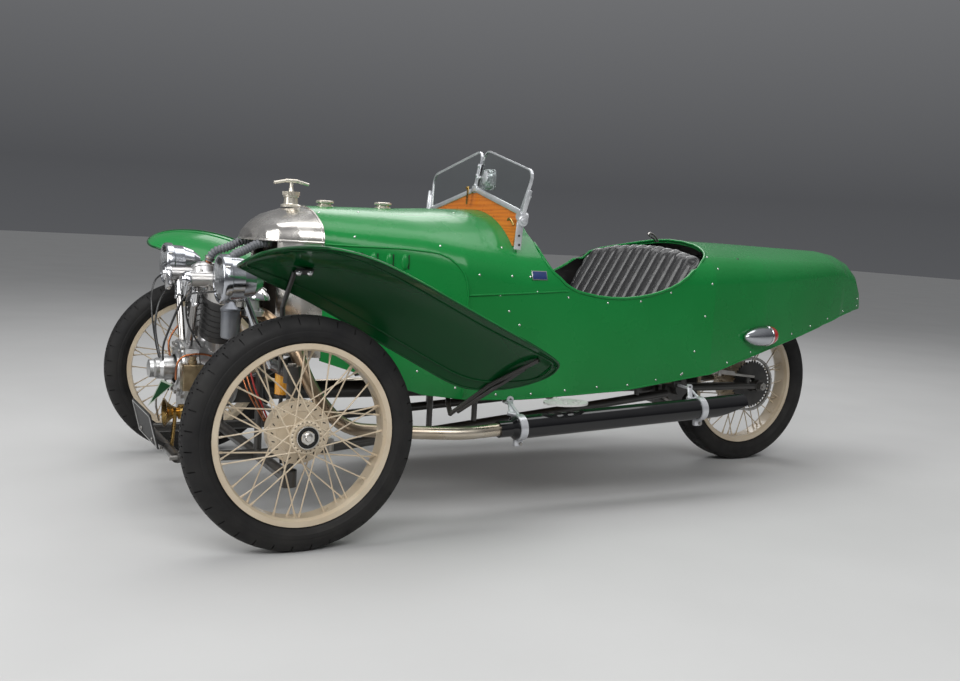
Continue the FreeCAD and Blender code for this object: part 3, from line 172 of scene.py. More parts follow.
grain, given, out = effect_group("grain", (("Scale", 200.0), ("Cell Share", 0.0)), ("Height",))
where = add(grain, "ShaderNodeTexCoord").outputs["Object"]
fine = add(grain, "ShaderNodeTexNoise",
           (("Vector", where), ("Scale", given.outputs["Scale"]), ("Detail", 3.0)))
cells = add(grain, "ShaderNodeTexVoronoi", (("Vector", where), ("Scale", given.outputs["Scale"])))
both = add(grain, "ShaderNodeMix", ((0, given.outputs["Cell Share"]), (2, fine.outputs["Fac"]),
                                    (3, cells.outputs["Distance"])))
grain.links.new(both.outputs[0], out.inputs["Height"])

dust, given, out = effect_group("dust", (("Height", 0.3), ("Amount", 0.5)), ("Mask",))
where = add(dust, "ShaderNodeTexCoord").outputs["Object"]
rise = add(dust, "ShaderNodeSeparateXYZ", ((0, where),)).outputs["Z"]
low = add(dust, "ShaderNodeMapRange",
          (("Value", rise), ("From Min", 0.0), ("From Max", given.outputs["Height"]),
           ("To Min", 1.0), ("To Max", 0.0))).outputs["Result"]
patches = add(dust, "ShaderNodeTexNoise",
              (("Vector", where), ("Scale", 18.0), ("Detail", 6.0))).outputs["Fac"]
mixed = add(dust, "ShaderNodeMath", ((0, low), (1, patches)), operation="MULTIPLY").outputs[0]
scaled = add(dust, "ShaderNodeMath", ((0, mixed), (1, given.outputs["Amount"])), operation="MULTIPLY",
             use_clamp=True)
dust.links.new(scaled.outputs[0], out.inputs["Mask"])
print("effects:", [g.name for g in (mottle, grain, dust)])

# %% [markdown]
# ## Finishes
# Each finish mixes two tones of its colour by the mottle, lets the gloss wander between two roughnesses, and
# many add a bump.  Coachwork has a clear coat over it, and bright metal has a low roughness with faint
# smears.

# %% One way to build a finish
FINISHES = {}


def place_group(tree, group, **values):
    """One of the effect groups in a material, with its own values."""
    made = tree.nodes.new("ShaderNodeGroup")
    made.node_tree = group
    for name, value in values.items():
        made.inputs[name.replace("_", " ")].default_value = value
    return made


def blend_tones(tree, share, first, second):
    """The colour between two, by a share from 0 to 1."""
    return add(tree, "ShaderNodeMix", ((0, share), (6, first), (7, second)), data_type="RGBA").outputs[2]


def finish(name, tone, second_tone, gloss, metal=0.0, patch=6.0, bump=None, coat=0.0, dusty=0.0,
           specular=0.5):
    """Two tones (linear RGB), a range of roughness, and perhaps a bump: scale, strength, cell share."""
    made = bpy.data.materials.new(name)
    made.use_nodes = True
    tree, shader = made.node_tree, made.node_tree.nodes["Principled BSDF"]
    share = place_group(tree, mottle, Scale=patch).outputs["Value"]
    colour = blend_tones(tree, share, (*tone, 1), (*second_tone, 1))
    if dusty:
        film = place_group(tree, dust, Height=0.75, Amount=dusty).outputs["Mask"]
        colour = blend_tones(tree, film, colour, (0.20, 0.17, 0.13, 1))
    tree.links.new(colour, shader.inputs["Base Color"])
    shine = place_group(tree, mottle, Scale=patch * 2.3, Low=gloss[0], High=gloss[1]).outputs["Value"]
    tree.links.new(shine, shader.inputs["Roughness"])
    shader.inputs["Metallic"].default_value = metal
    shader.inputs["Coat Weight"].default_value = coat
    shader.inputs["Coat Roughness"].default_value = 0.06
    shader.inputs["Specular IOR Level"].default_value = specular
    if bump:
        scale, strength, cell_share = bump
        height = place_group(tree, grain, Scale=scale, Cell_Share=cell_share).outputs["Height"]
        relief = add(tree, "ShaderNodeBump",
                     (("Height", height), ("Strength", strength), ("Distance", 0.0006)))
        tree.links.new(relief.outputs["Normal"], shader.inputs["Normal"])
    FINISHES[name] = made
    return made

# %% Paints and enamels
finish("green_paint", (0.006, 0.190, 0.036), (0.008, 0.220, 0.046), (0.22, 0.32), patch=2.2,
       bump=(22, 0.05, 0), coat=0.15, dusty=0.05, specular=0.22)
# A darker green: the pennant's enamel, and painted shade on the wings' undersides.
finish("dark_green", (0.001, 0.048, 0.011), (0.002, 0.060, 0.014), (0.10, 0.18), patch=2.5,
       coat=0.25, specular=0.2)
finish("black_paint", (0.012, 0.012, 0.013), (0.022, 0.021, 0.02), (0.28, 0.5), patch=9,
       bump=(60, 0.08, 0), coat=0.4, dusty=0.25)
finish("gloss_black", (0.004, 0.004, 0.005), (0.007, 0.007, 0.008), (0.06, 0.12), patch=5,
       coat=0.5, specular=0.3)
finish("cream_paint", (0.66, 0.56, 0.42), (0.58, 0.47, 0.33), (0.25, 0.42), patch=14,
       bump=(50, 0.06, 0), coat=0.5, dusty=0.10)
finish("badge_enamel", (0.012, 0.03, 0.13), (0.02, 0.045, 0.17), (0.12, 0.2), patch=60, coat=1.0)
finish("pale_line", (0.45, 0.55, 0.45), (0.55, 0.62, 0.52), (0.4, 0.6), patch=60)
finish("dial_face", (0.010, 0.010, 0.010), (0.016, 0.016, 0.016), (0.5, 0.6), patch=60)
print("paints:", len(FINISHES))

# %% Bright, dull and coloured metals
finish("nickel", (0.62, 0.59, 0.55), (0.72, 0.70, 0.67), (0.18, 0.34), metal=1.0, patch=7,
       bump=(160, 0.05, 0))
finish("warm_nickel", (0.66, 0.61, 0.52), (0.76, 0.72, 0.64), (0.24, 0.36), metal=0.75, patch=18)
finish("chrome", (0.66, 0.67, 0.69), (0.78, 0.78, 0.79), (0.06, 0.15), metal=1.0, patch=16)
finish("tube_chrome", (0.24, 0.24, 0.25), (0.40, 0.38, 0.36), (0.10, 0.20), metal=1.0, patch=9)
finish("lamp_shell", (0.46, 0.48, 0.52), (0.56, 0.57, 0.60), (0.14, 0.24), metal=1.0, patch=8)
finish("satin", (0.56, 0.57, 0.60), (0.68, 0.69, 0.71), (0.26, 0.40), metal=0.55, patch=22,
       bump=(260, 0.06, 0))
finish("steel", (0.30, 0.29, 0.28), (0.44, 0.43, 0.41), (0.30, 0.52), metal=1.0, patch=22,
       bump=(260, 0.15, 0), dusty=0.2)
finish("alloy", (0.50, 0.50, 0.50), (0.64, 0.64, 0.63), (0.28, 0.46), metal=1.0, patch=15,
       bump=(300, 0.20, 0.4), dusty=0.15)
finish("pale_alloy", (0.62, 0.62, 0.60), (0.72, 0.72, 0.70), (0.36, 0.50), metal=0.2, patch=20,
       bump=(220, 0.10, 0))
finish("dull_alloy", (0.20, 0.21, 0.235), (0.28, 0.29, 0.31), (0.34, 0.50), metal=0.9, patch=14,
       bump=(280, 0.20, 0.4))
finish("iron", (0.020, 0.020, 0.021), (0.035, 0.034, 0.033), (0.38, 0.60), patch=18,
       bump=(240, 0.25, 0.3), dusty=0.15)
finish("honeycomb", (0.015, 0.013, 0.011), (0.075, 0.062, 0.050), (0.30, 0.50), metal=0.6, patch=90,
       bump=(150, 0.9, 1.0))
finish("brass", (0.58, 0.39, 0.13), (0.40, 0.25, 0.09), (0.18, 0.40), metal=1.0, patch=20,
       bump=(180, 0.08, 0))
finish("old_bronze", (0.24, 0.18, 0.105), (0.36, 0.29, 0.18), (0.24, 0.42), metal=0.95, patch=22,
       bump=(180, 0.10, 0))
finish("copper", (0.52, 0.20, 0.09), (0.38, 0.14, 0.07), (0.22, 0.42), metal=1.0, patch=30)
finish("rivet", (0.62, 0.64, 0.62), (0.75, 0.76, 0.74), (0.14, 0.3), metal=1.0, patch=60)
print("with metals:", len(FINISHES))

# %% Rubber, leather and small coloured parts
finish("tyre", (0.010, 0.010, 0.011), (0.020, 0.0195, 0.019), (0.50, 0.75), patch=11,
       bump=(420, 0.35, 0.3), dusty=0.05, specular=0.22)
finish("rubber", (0.13, 0.135, 0.15), (0.19, 0.195, 0.21), (0.36, 0.52), patch=25,
       bump=(300, 0.15, 0))
finish("black_leather", (0.008, 0.008, 0.009), (0.018, 0.0175, 0.019), (0.22, 0.40), patch=16,
       bump=(520, 0.5, 0.7), coat=0.3)
finish("black_plastic", (0.012, 0.012, 0.012), (0.022, 0.022, 0.022), (0.22, 0.4), patch=20,
       bump=(300, 0.1, 0), coat=0.3)
# Near black, painted shade: it stands for the shade inside holes, slots, slits and recesses.
finish("painted_hole_shade", (0.004, 0.004, 0.004), (0.008, 0.008, 0.008), (0.7, 0.9), patch=20)
finish("amber", (0.86, 0.42, 0.020), (0.70, 0.27, 0.010), (0.08, 0.16), patch=40, coat=1.0)
finish("red_wire", (0.30, 0.012, 0.010), (0.38, 0.02, 0.014), (0.35, 0.5), patch=30)
print("with soft ones:", len(FINISHES))

# %% [markdown]
# Wood needs rings: a wave texture stretched along the plank and bent by noise.

# %% Wood
def wood(name, pale, dark, run, gloss, coat):
    """Ringed wood whose grain runs along one axis."""
    made = finish(name, pale, dark, gloss, patch=9, coat=coat, bump=(90, 0.12, 0))
    tree, shader = made.node_tree, made.node_tree.nodes["Principled BSDF"]
    spot = add(tree, "ShaderNodeTexCoord").outputs["Object"]
    slow = tuple(1.0 if axis == run else 16.0 for axis in "xyz")
    stretched = add(tree, "ShaderNodeMapping", (("Vector", spot), ("Scale", slow))).outputs[0]
    rings = add(tree, "ShaderNodeTexWave", (("Vector", stretched), ("Scale", 1.6), ("Distortion", 9.0),
                                            ("Detail", 4.0), ("Detail Scale", 1.4)), wave_type="RINGS")
    pores = add(tree, "ShaderNodeTexNoise", (("Vector", stretched), ("Scale", 14.0), ("Detail", 8.0)))
    figure = add(tree, "ShaderNodeMath", ((0, rings.outputs["Fac"]), (1, pores.outputs["Fac"])),
                 operation="MULTIPLY")
    tree.links.new(blend_tones(tree, figure.outputs[0], (*pale, 1), (*dark, 1)), shader.inputs["Base Color"])


wood("board_wood", (0.76, 0.215, 0.018), (0.44, 0.092, 0.008), "y", (0.24, 0.36), 0.4)
wood("floor_wood", (0.20, 0.12, 0.06), (0.09, 0.05, 0.025), "x", (0.45, 0.65), 0.0)
print("finishes with wood:", len(FINISHES))

# %% [markdown]
# The exhaust's front pipe is nickel browned by heat, so its colour drifts along its length.  The cylinders
# are black iron below and bright alloy above.  Each needs one more mask on the place along the piece, blended
# over the tones that it has already.

# %% The browned pipe
def two_tones(tree, scale, first, second):
    """Two tones of one metal, mixed by the mottle."""
    share = place_group(tree, mottle, Scale=scale).outputs["Value"]
    return blend_tones(tree, share, (*first, 1), (*second, 1))


PIPE_HOT_X, PIPE_COOL_X = -1.30, -0.65
finish("pipe_metal", (0.30, 0.20, 0.12), (0.46, 0.36, 0.25), (0.22, 0.42), metal=1.0, patch=9,
       bump=(120, 0.08, 0))
tree = FINISHES["pipe_metal"].node_tree
length_way = add(tree, "ShaderNodeSeparateXYZ", ((0, add(tree, "ShaderNodeTexCoord").outputs["Object"]),))
heat = add(tree, "ShaderNodeMapRange", (("Value", length_way.outputs["X"]), ("From Min", PIPE_HOT_X),
                                        ("From Max", PIPE_COOL_X)))
cooler = two_tones(tree, 12.0, (0.50, 0.42, 0.32), (0.62, 0.56, 0.47))
hotter = two_tones(tree, 9.0, (0.26, 0.15, 0.08), (0.40, 0.28, 0.17))
tree.links.new(blend_tones(tree, heat.outputs[0], hotter, cooler),
               tree.nodes["Principled BSDF"].inputs["Base Color"])
print("browned from", PIPE_HOT_X, "to", PIPE_COOL_X)

# %% Cylinders: barrel and head are told apart by how far up each leaning cylinder a place is
VEE, HEAD_LINE = math.radians(25), 0.649
finish("cylinder_metal", (0.020, 0.020, 0.021), (0.035, 0.034, 0.033), (0.28, 0.46), patch=18,
       bump=(240, 0.20, 0.3))
tree = FINISHES["cylinder_metal"].node_tree
where = add(tree, "ShaderNodeSeparateXYZ", ((0, add(tree, "ShaderNodeTexCoord").outputs["Object"]),))
out_way = add(tree, "ShaderNodeMath", ((0, where.outputs["Y"]),), operation="ABSOLUTE").outputs[0]
leaning = add(tree, "ShaderNodeMath", ((0, out_way), (1, math.sin(VEE))), operation="MULTIPLY").outputs[0]
rising = add(tree, "ShaderNodeMath", ((0, where.outputs["Z"]), (1, math.cos(VEE)), (2, leaning)),
             operation="MULTIPLY_ADD").outputs[0]
is_head = add(tree, "ShaderNodeMath", ((0, rising), (1, HEAD_LINE)), operation="GREATER_THAN").outputs[0]
bare = two_tones(tree, 14.0, (0.46, 0.46, 0.47), (0.60, 0.58, 0.55))
painted = tree.nodes["Principled BSDF"].inputs["Base Color"].links[0].from_socket
tree.links.new(blend_tones(tree, is_head, painted, bare), tree.nodes["Principled BSDF"].inputs["Base Color"])
tree.links.new(is_head, tree.nodes["Principled BSDF"].inputs["Metallic"])
print("heads begin at", HEAD_LINE)

# %% [markdown]
# Glass lets light through, so it stays plain: a trace of green in the panes, faint smears in its gloss, and
# no metal.  The lamps' red lenses are solid red under a gloss instead, because clear red glass before a dark
# bowl looks black.

# %% Glass and red lenses
def glass(name, tint, gloss):
    """Clear glass with faint smears."""
    made = bpy.data.materials.new(name)
    made.use_nodes = True
    tree, shader = made.node_tree, made.node_tree.nodes["Principled BSDF"]
    tone = two_tones(tree, 5.0, tint, [channel * 0.94 for channel in tint])
    tree.links.new(tone, shader.inputs["Base Color"])
    smear = place_group(tree, mottle, Scale=9.0, Low=gloss, High=gloss + 0.05).outputs["Value"]
    tree.links.new(smear, shader.inputs["Roughness"])
    shader.inputs["Metallic"].default_value = 0.0
    shader.inputs["Transmission Weight"].default_value = 1.0
    shader.inputs["IOR"].default_value = 1.45
    FINISHES[name] = made


glass("glass", (0.90, 0.95, 0.93), 0.01)
glass("lens_glass", (0.95, 0.97, 0.97), 0.04)
finish("red_lens", (0.38, 0.006, 0.004), (0.50, 0.012, 0.008), (0.10, 0.20), coat=0.5, patch=20)
print("all finishes of the car:", len(FINISHES))

# %% The floor's own finish
finish("studio_floor", (0.52, 0.52, 0.515), (0.55, 0.55, 0.545), (0.8, 0.95), patch=1.5)
floor.data.materials.append(FINISHES["studio_floor"])
print("floor finish:", floor.data.materials[0].name)

# %% [markdown]
# ## CAD pieces take their finishes
# The record says which slot each CAD piece belongs to.  Some pieces look better with a finer finish than
# their slot names: the silencers are gloss black, and the cylinders are iron below and alloy above.

# %% Give every CAD node its finish
FINER = {"silencers": "gloss_black", "fascia": "board_wood", "headlamps": "lamp_shell",
         "pushrod_tubes": "tube_chrome", "radiator_cap": "warm_nickel", "silencer_brackets": "satin",
         "step_plates": "pale_alloy", "sprocket": "iron", "windscreen_frame": "satin",
         "number_plate": "dial_face", "cylinders": "cylinder_metal", "radiator_core": "honeycomb"}
for part in frame["record"]["subparts"]:
    node = frame["nodes"][part["node"]]
    node.data.materials.clear()
    node.data.materials.append(FINISHES[FINER.get(part["node"], part["material_slot"])])

# %% [markdown]
# ## Ways to make a shape
# Most fittings are turned, sawn from bar or bent from wire.  A turned piece starts as a chain of vertices
# that the spin operator carries round an axis.  A bent one is a curve with a round bevel, made into a mesh at
# once.  Every shape ends the same way: seams merged, faces turned outwards, smooth shading with sharp corners
# kept.

# %% Finish a shape and hand it to a body
def mesh_piece(mesh, name, body, material, sharp):
    """The mesh becomes an object in that finish, riding on that body."""
    mesh.materials.clear()
    mesh.materials.append(FINISHES[material])
    mesh.shade_smooth()
    mesh.set_sharp_from_angle(angle=math.radians(sharp))
    made = bpy.data.objects.new(name, mesh)
    scene.collection.objects.link(made)
    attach(made, body)
    return made


def piece(bm, name, body, material, sharp=35, outwards=True):
    """Merge the seams of a shape, turn its faces outwards, and make it a piece."""
    bmesh.ops.remove_doubles(bm, verts=bm.verts, dist=2e-6)
    if outwards:
        bmesh.ops.recalc_face_normals(bm, faces=bm.faces)
    mesh = bpy.data.meshes.new(name)
    bm.to_mesh(mesh)
    bm.free()
    return mesh_piece(mesh, name, body, material, sharp)

# %% Turned shapes, round bars and soft-edged boxes
def turned(bm, profile, place, axis, steps=32):
    """Spin (along, radius) pairs round an axis that starts at a place."""
    way = Vector(axis).normalized()
    stand = Vector((0, 0, 1)).rotation_difference(way).to_matrix()
    verts = [bm.verts.new(stand @ Vector((radius, 0, along)) + Vector(place)) for along, radius in profile]
    edges = [bm.edges.new(pair) for pair in zip(verts, verts[1:])]
    bmesh.ops.spin(bm, geom=verts + edges, cent=place, axis=way, angle=math.tau, steps=steps, use_merge=True)


def bar(bm, start, end, radius, far_radius=None, sides=12):
    """A straight round bar or cone between two places."""
    start, end = Vector(start), Vector(end)
    way = end - start
    stand = Matrix.Translation((start + end) / 2) @ way.to_track_quat("Z", "Y").to_matrix().to_4x4()
    bmesh.ops.create_cone(bm, cap_ends=True, segments=sides, radius1=radius,
                          radius2=radius if far_radius is None else far_radius, depth=way.length,
                          matrix=stand)


def slab(bm, size, stand, soft=0.0015):
    """A box with softened edges, placed by a matrix."""
    made = bmesh.ops.create_cube(bm, size=1, matrix=stand @ Matrix.Diagonal((*size, 1)))
    edges = list({edge for vert in made["verts"] for edge in vert.link_edges})
    bmesh.ops.bevel(bm, geom=edges, offset=soft, segments=2, affect="EDGES", profile=0.5, material=-1)

# %% Places, bent wires, plates and mirrored runs
def at(x, y, z, turn=None):
    """A matrix that moves to a place, after a turn if there is one."""
    stand = Matrix.Translation((x, y, z))
    return stand @ turn.to_matrix().to_4x4() if turn else stand


def wire(name, runs, radius, body, material, closed=False, straight=False, thick=None):
    """Round bars that follow runs of points; the curve becomes a mesh at once."""
    path = bpy.data.curves.new(name, "CURVE")
    path.dimensions = "3D"
    path.bevel_depth = radius
    path.bevel_resolution = 2
    path.use_fill_caps = True
    path.resolution_u = 6
    for run in runs:
        spline = path.splines.new("POLY" if straight else "NURBS")
        spline.points.add(len(run) - 1)
        for number, place in enumerate(run):
            spline.points[number].co = (*place, 1)
            spline.points[number].radius = thick[number] if thick else 1
        if not straight:
            spline.order_u = 3
            spline.use_endpoint_u = not closed
        spline.use_cyclic_u = closed
    holder = bpy.data.objects.new(name, path)
    scene.collection.objects.link(holder)
    mesh = bpy.data.meshes.new_from_object(holder)
    bpy.data.objects.remove(holder)
    bm = bmesh.new()
    bm.from_mesh(mesh)
    return piece(bm, name, body, material, sharp=50)


def thickened(bm, face, shift):
    """Push a flat face through a distance, so that it becomes a plate."""
    risen = bmesh.ops.extrude_face_region(bm, geom=[face])["geom"]
    bmesh.ops.translate(bm, verts=[item for item in risen if isinstance(item, bmesh.types.BMVert)], vec=shift)


def flipped(run):
    """The same run of points on the other side of the car."""
    return [(x, -y, z) for x, y, z in run]

# %% [markdown]
# ## Coachwork
# The panels' shapes are right as they come, but their loose triangles shade in flats, which glossy paint
# shows at once.  A merged copy with smooth shading and sharp cut edges stands for each of them.  Rivets,
# beads and louvres have to sit on the curved skin, so a ray cast from the side or from above finds the place
# and the surface's normal.

# %% Smooth-shaded copies of the panels
def smoothed(node, material, body="car_body", sharp=28, weighted=True, lined=True):
    """A merged copy of a CAD node that shades as one curved surface, black on its inner faces."""
    bm = bmesh.new()
    bm.from_mesh(frame["nodes"][node].data)
    bmesh.ops.remove_doubles(bm, verts=bm.verts, dist=1e-5)
    made = piece(bm, node + "_skin", body, material, sharp=sharp, outwards=False)
    made.data.materials.append(FINISHES["black_paint"])
    for face in made.data.polygons:
        out = Vector((0, face.center.y, face.center.z - 0.62))
        if lined and face.normal.dot(out) < -0.25 * out.length:
            face.material_index = 1
    if weighted:
        even = made.modifiers.new("even_normals", "WEIGHTED_NORMAL")
        even.keep_sharp = True
        even.mode = "FACE_AREA"
    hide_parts(node)
    return made


PANELS = ("top_cowl", "bonnet_side_left", "bonnet_side_right", "body_side_left", "body_side_right", "tail")
for panel in PANELS:
    smoothed(panel, "green_paint")
dome = smoothed("radiator_shell", "nickel", lined=False)
print("smooth panels:", len(PANELS) + 1)

# %% Find places on the skin
def skin_of(*names):
    """One search tree over the triangles of some CAD nodes."""
    verts, faces = [], []
    for name in names:
        mesh = frame["nodes"][name].data
        first = len(verts)
        verts += [vert.co.copy() for vert in mesh.vertices]
        faces += [[first + i for i in face.vertices] for face in mesh.polygons]
    return BVHTree.FromPolygons(verts, faces)


SKIN = skin_of(*PANELS)
print("skin of", len(PANELS), "panels")


def on_side(x, z, side=-1, proud=0.0, skin=SKIN):
    """The place on the skin at (x, z), seen from one side, and its normal; nothing where it is open."""
    spot, normal, _, _ = skin.ray_cast(Vector((x, side * 2.0, z)), Vector((0, -side, 0)))
    if spot is None or spot.y * side < 0:
        return None, None
    normal = normal if normal.y * side > 0 else -normal
    return spot + normal * proud, normal


def on_top(x, y, proud=0.0, skin=SKIN):
    """The place on the skin above (x, y), seen from above, and its normal; nothing where it is open."""
    spot, normal, _, _ = skin.ray_cast(Vector((x, y, 2.0)), Vector((0, 0, -1)))
    if spot is None or spot.z < 0.6:
        return None, None
    normal = normal if normal.z > 0 else -normal
    return spot + normal * proud, normal


def at_rim(cast, start, way):
    """Step from the open cockpit towards its rim until a ray meets the skin."""
    for step in range(60):
        spot, _ = cast(start[0] + way[0] * step / 1000, start[1] + way[1] * step / 1000)
        if spot is not None:
            return tuple(spot)
    return None

# %% Beads: the raised seams round the bonnet sides and under the cowl
NOSE, BONNET_REAR, SEAM_FRONT, CORNER = -1.048, -0.615, 0.842, 0.125
corner_x, corner_z = BONNET_REAR - CORNER, 0.836 - CORNER
seam = [(NOSE, SEAM_FRONT)] + [(x / 1000, SEAM_FRONT - 0.001) for x in range(-980, -740, 80)]
for step in range(7):
    bearing = math.pi / 2 * (1 - step / 6)
    seam.append((corner_x + CORNER * math.cos(bearing), corner_z + CORNER * math.sin(bearing)))
seam += [(BONNET_REAR, z / 1000) for z in (660, 600, 520, 440, 372)]
level_seam = [(x / 1000, (702 + (x + 615) * 26 / 380) / 1000) for x in range(-612, -244, 40)]
for side, label in ((-1, "left"), (1, "right")):
    runs = [[tuple(on_side(x, z, side, 0.0008)[0]) for x, z in line] for line in (seam, level_seam)]
    wire("seam_bead_" + label, runs, 0.0034, "car_body", "green_paint", straight=True)
print("seam points:", len(seam) + len(level_seam))

# %% The rolled rim of the cockpit
SIDE_RIM = ((-338, 836), (-332, 822), (-321, 805), (-303, 785), (-285, 768), (-262, 750), (-238, 736),
            (-212, 727), (-184, 720), (-130, 711), (-76, 706), (-15, 707), (45, 713), (95, 721), (142, 732),
            (182, 746), (220, 763), (262, 787), (290, 808))
DECK_RIM = ((330, 383), (354, 368), (374, 353), (392, 334), (418, 299), (441, 262), (459, 220), (475, 172),
            (484, 90), (487, 0))
OPEN_MIDDLE = Vector((-30, 880))
near_rim, deck_rim = [], []
for x, z in SIDE_RIM:
    way = (Vector((x, z)) - OPEN_MIDDLE).normalized()
    near_rim.append(at_rim(on_side, (Vector((x, z)) - way * 15) / 1000, way))
for x, y in DECK_RIM:
    way = Vector((x, -y)).normalized()
    deck_rim.append(at_rim(on_top, (Vector((x, -y)) - way * 15) / 1000, way))
front_rim = [at_rim(on_top, (-0.325, y / 1000), (-1, 0)) for y in (0, -60, -120, -180, -240, -290, -330)]
front_rim += [at_rim(on_side, (-0.325, z / 1000), (-1, 0)) for z in (880, 858)]
half_rim = front_rim + near_rim + deck_rim
whole_rim = half_rim + flipped(half_rim[-2:0:-1])
wire("cockpit_rim", [whole_rim], 0.0052, "car_body", "green_paint", closed=True, straight=True)
print("rim points:", len(whole_rim))

# %% Rivets
RIVETS = [(-0.373, 0.379), (-0.240, 0.388), (-0.111, 0.397), (0.018, 0.402), (0.145, 0.417), (0.268, 0.437),
          (-0.500, 0.378), (-0.372, 0.720), (-0.505, 0.706), (0.400, 0.860), (0.380, 0.765), (0.357, 0.646),
          (0.318, 0.517), (0.262, 0.432), (-0.598, 0.640), (-0.598, 0.560), (-0.470, 0.655), (-0.430, 0.610),
          (-0.640, 0.400), (0.500, 0.470), (0.640, 0.505), (0.780, 0.534), (0.930, 0.566), (1.080, 0.593),
          (1.230, 0.620), (1.380, 0.648), (-0.250, 0.705), (-0.090, 0.690), (0.050, 0.697), (0.185, 0.730),
          (-0.960, 0.870), (-0.700, 0.856), (-0.480, 0.860), (-0.580, 0.770), (-0.400, 0.770),
          (-0.465, 0.770), (1.538, 0.700), (1.538, 0.668), (0.420, 0.820), (-0.880, 0.500), (-0.760, 0.450)]


def rivet(bm, place, normal, radius=0.0042):
    """A low dome: three rings and a tip, spun in ten steps."""
    profile = [(-0.001, radius), (0.0006, radius), (0.0017, radius * 0.75), (0.0024, radius * 0.4),
               (0.0027, 0)]
    turned(bm, profile, place, normal, steps=10)


bm = bmesh.new()
for x, z in RIVETS:
    for side in (-1, 1):
        rivet(bm, *on_side(x, z, side))
for x in (-1.035, -0.90, -0.55):
    for y in (-0.12, 0.12):
        rivet(bm, *on_top(x, y))
piece(bm, "rivets", "car_body", "rivet", sharp=60)
print("rivets:", 2 * len(RIVETS) + 6)

# %% [markdown]
# A louvre is a slot with its rear lip pressed outwards.  A half-round hood over a dark slit shows the same
# thing: the hood is a stretched and flattened ball, half sunk in the panel, and the slit is a dark slab
# painted as the shade inside the opening.

# %% Louvres
LOUVRES = 5
bm, slits = bmesh.new(), bmesh.new()
for side in (-1, 1):
    for number in range(LOUVRES):
        x = -0.998 + number * 0.0465
        low, normal = on_side(x, 0.773, side)
        high, _ = on_side(x, 0.826, side)
        hood = bmesh.ops.create_uvsphere(bm, u_segments=16, v_segments=10, radius=1)["verts"]
        middle = (low + high) / 2
        upright = (high - low).normalized()
        along = upright.cross(normal).normalized()
        stand = Matrix((along, upright, normal)).transposed()
        size = Matrix.Diagonal((0.0125, (high - low).length / 2, 0.0080))
        for vert in hood:
            vert.co = middle + stand @ (size @ vert.co)
        rear = along if along.x > 0 else -along
        # A dark slab behind each hood is painted shade for the open slit.
        slab(slits, (0.0035, (high - low).length * 0.86, 0.004),
             Matrix.Translation(middle + rear * 0.0122) @ stand.to_4x4(), soft=0.0004)
piece(bm, "louvres", "car_body", "green_paint", sharp=60)
piece(slits, "louvre_slits", "car_body", "painted_hole_shade")
print("louvres a side:", LOUVRES)

# %% [markdown]
# ## Wings
# Each wing is one beaten sheet with a wire rolled into its edge.  Cross sections, each a shallow arc, are
# bridged one to the next; subdivision then smooths the sheet along its length and a thickness closes it.  A
# wing's underside, and the flute beneath it, are a darker green as painted shade.

# %% Wing sections in millimetres: x, inner edge's y and z, outer edge's y and z, rise of the arc
WING = ((-1428, 606, 786, 672, 800, 2), (-1405, 572, 780, 704, 820, 10), (-1362, 545, 762, 728, 838, 18),
        (-1300, 525, 734, 737, 848, 22), (-1210, 512, 698, 740, 850, 26), (-1090, 503, 636, 739, 828, 26),
        (-960, 497, 566, 736, 774, 24), (-820, 492, 492, 731, 708, 22), (-690, 490, 424, 727, 646, 20),
        (-590, 500, 412, 720, 602, 18), (-500, 530, 424, 706, 558, 14), (-440, 572, 452, 682, 526, 8),
        (-418, 610, 476, 650, 506, 2))


def across_wing(station, share, sink=0.0):
    """A place on the wing's upper face: share 0 is the inner edge, 1 the outer."""
    x, inner_y, inner_z, outer_y, outer_z, rise = station
    chord = Vector((0, outer_y - inner_y, outer_z - inner_z))
    lift = Vector((0, -chord.z, chord.y)).normalized()
    spot = Vector((x, inner_y, inner_z)) + chord * share + lift * (rise * 4 * share * (1 - share) - sink)
    return spot / 1000


def wing_line(share, sink=2.0):
    """A line along the wing at one share of its width."""
    return [across_wing(station, share, sink) for station in WING]


print("wing sections:", len(WING))

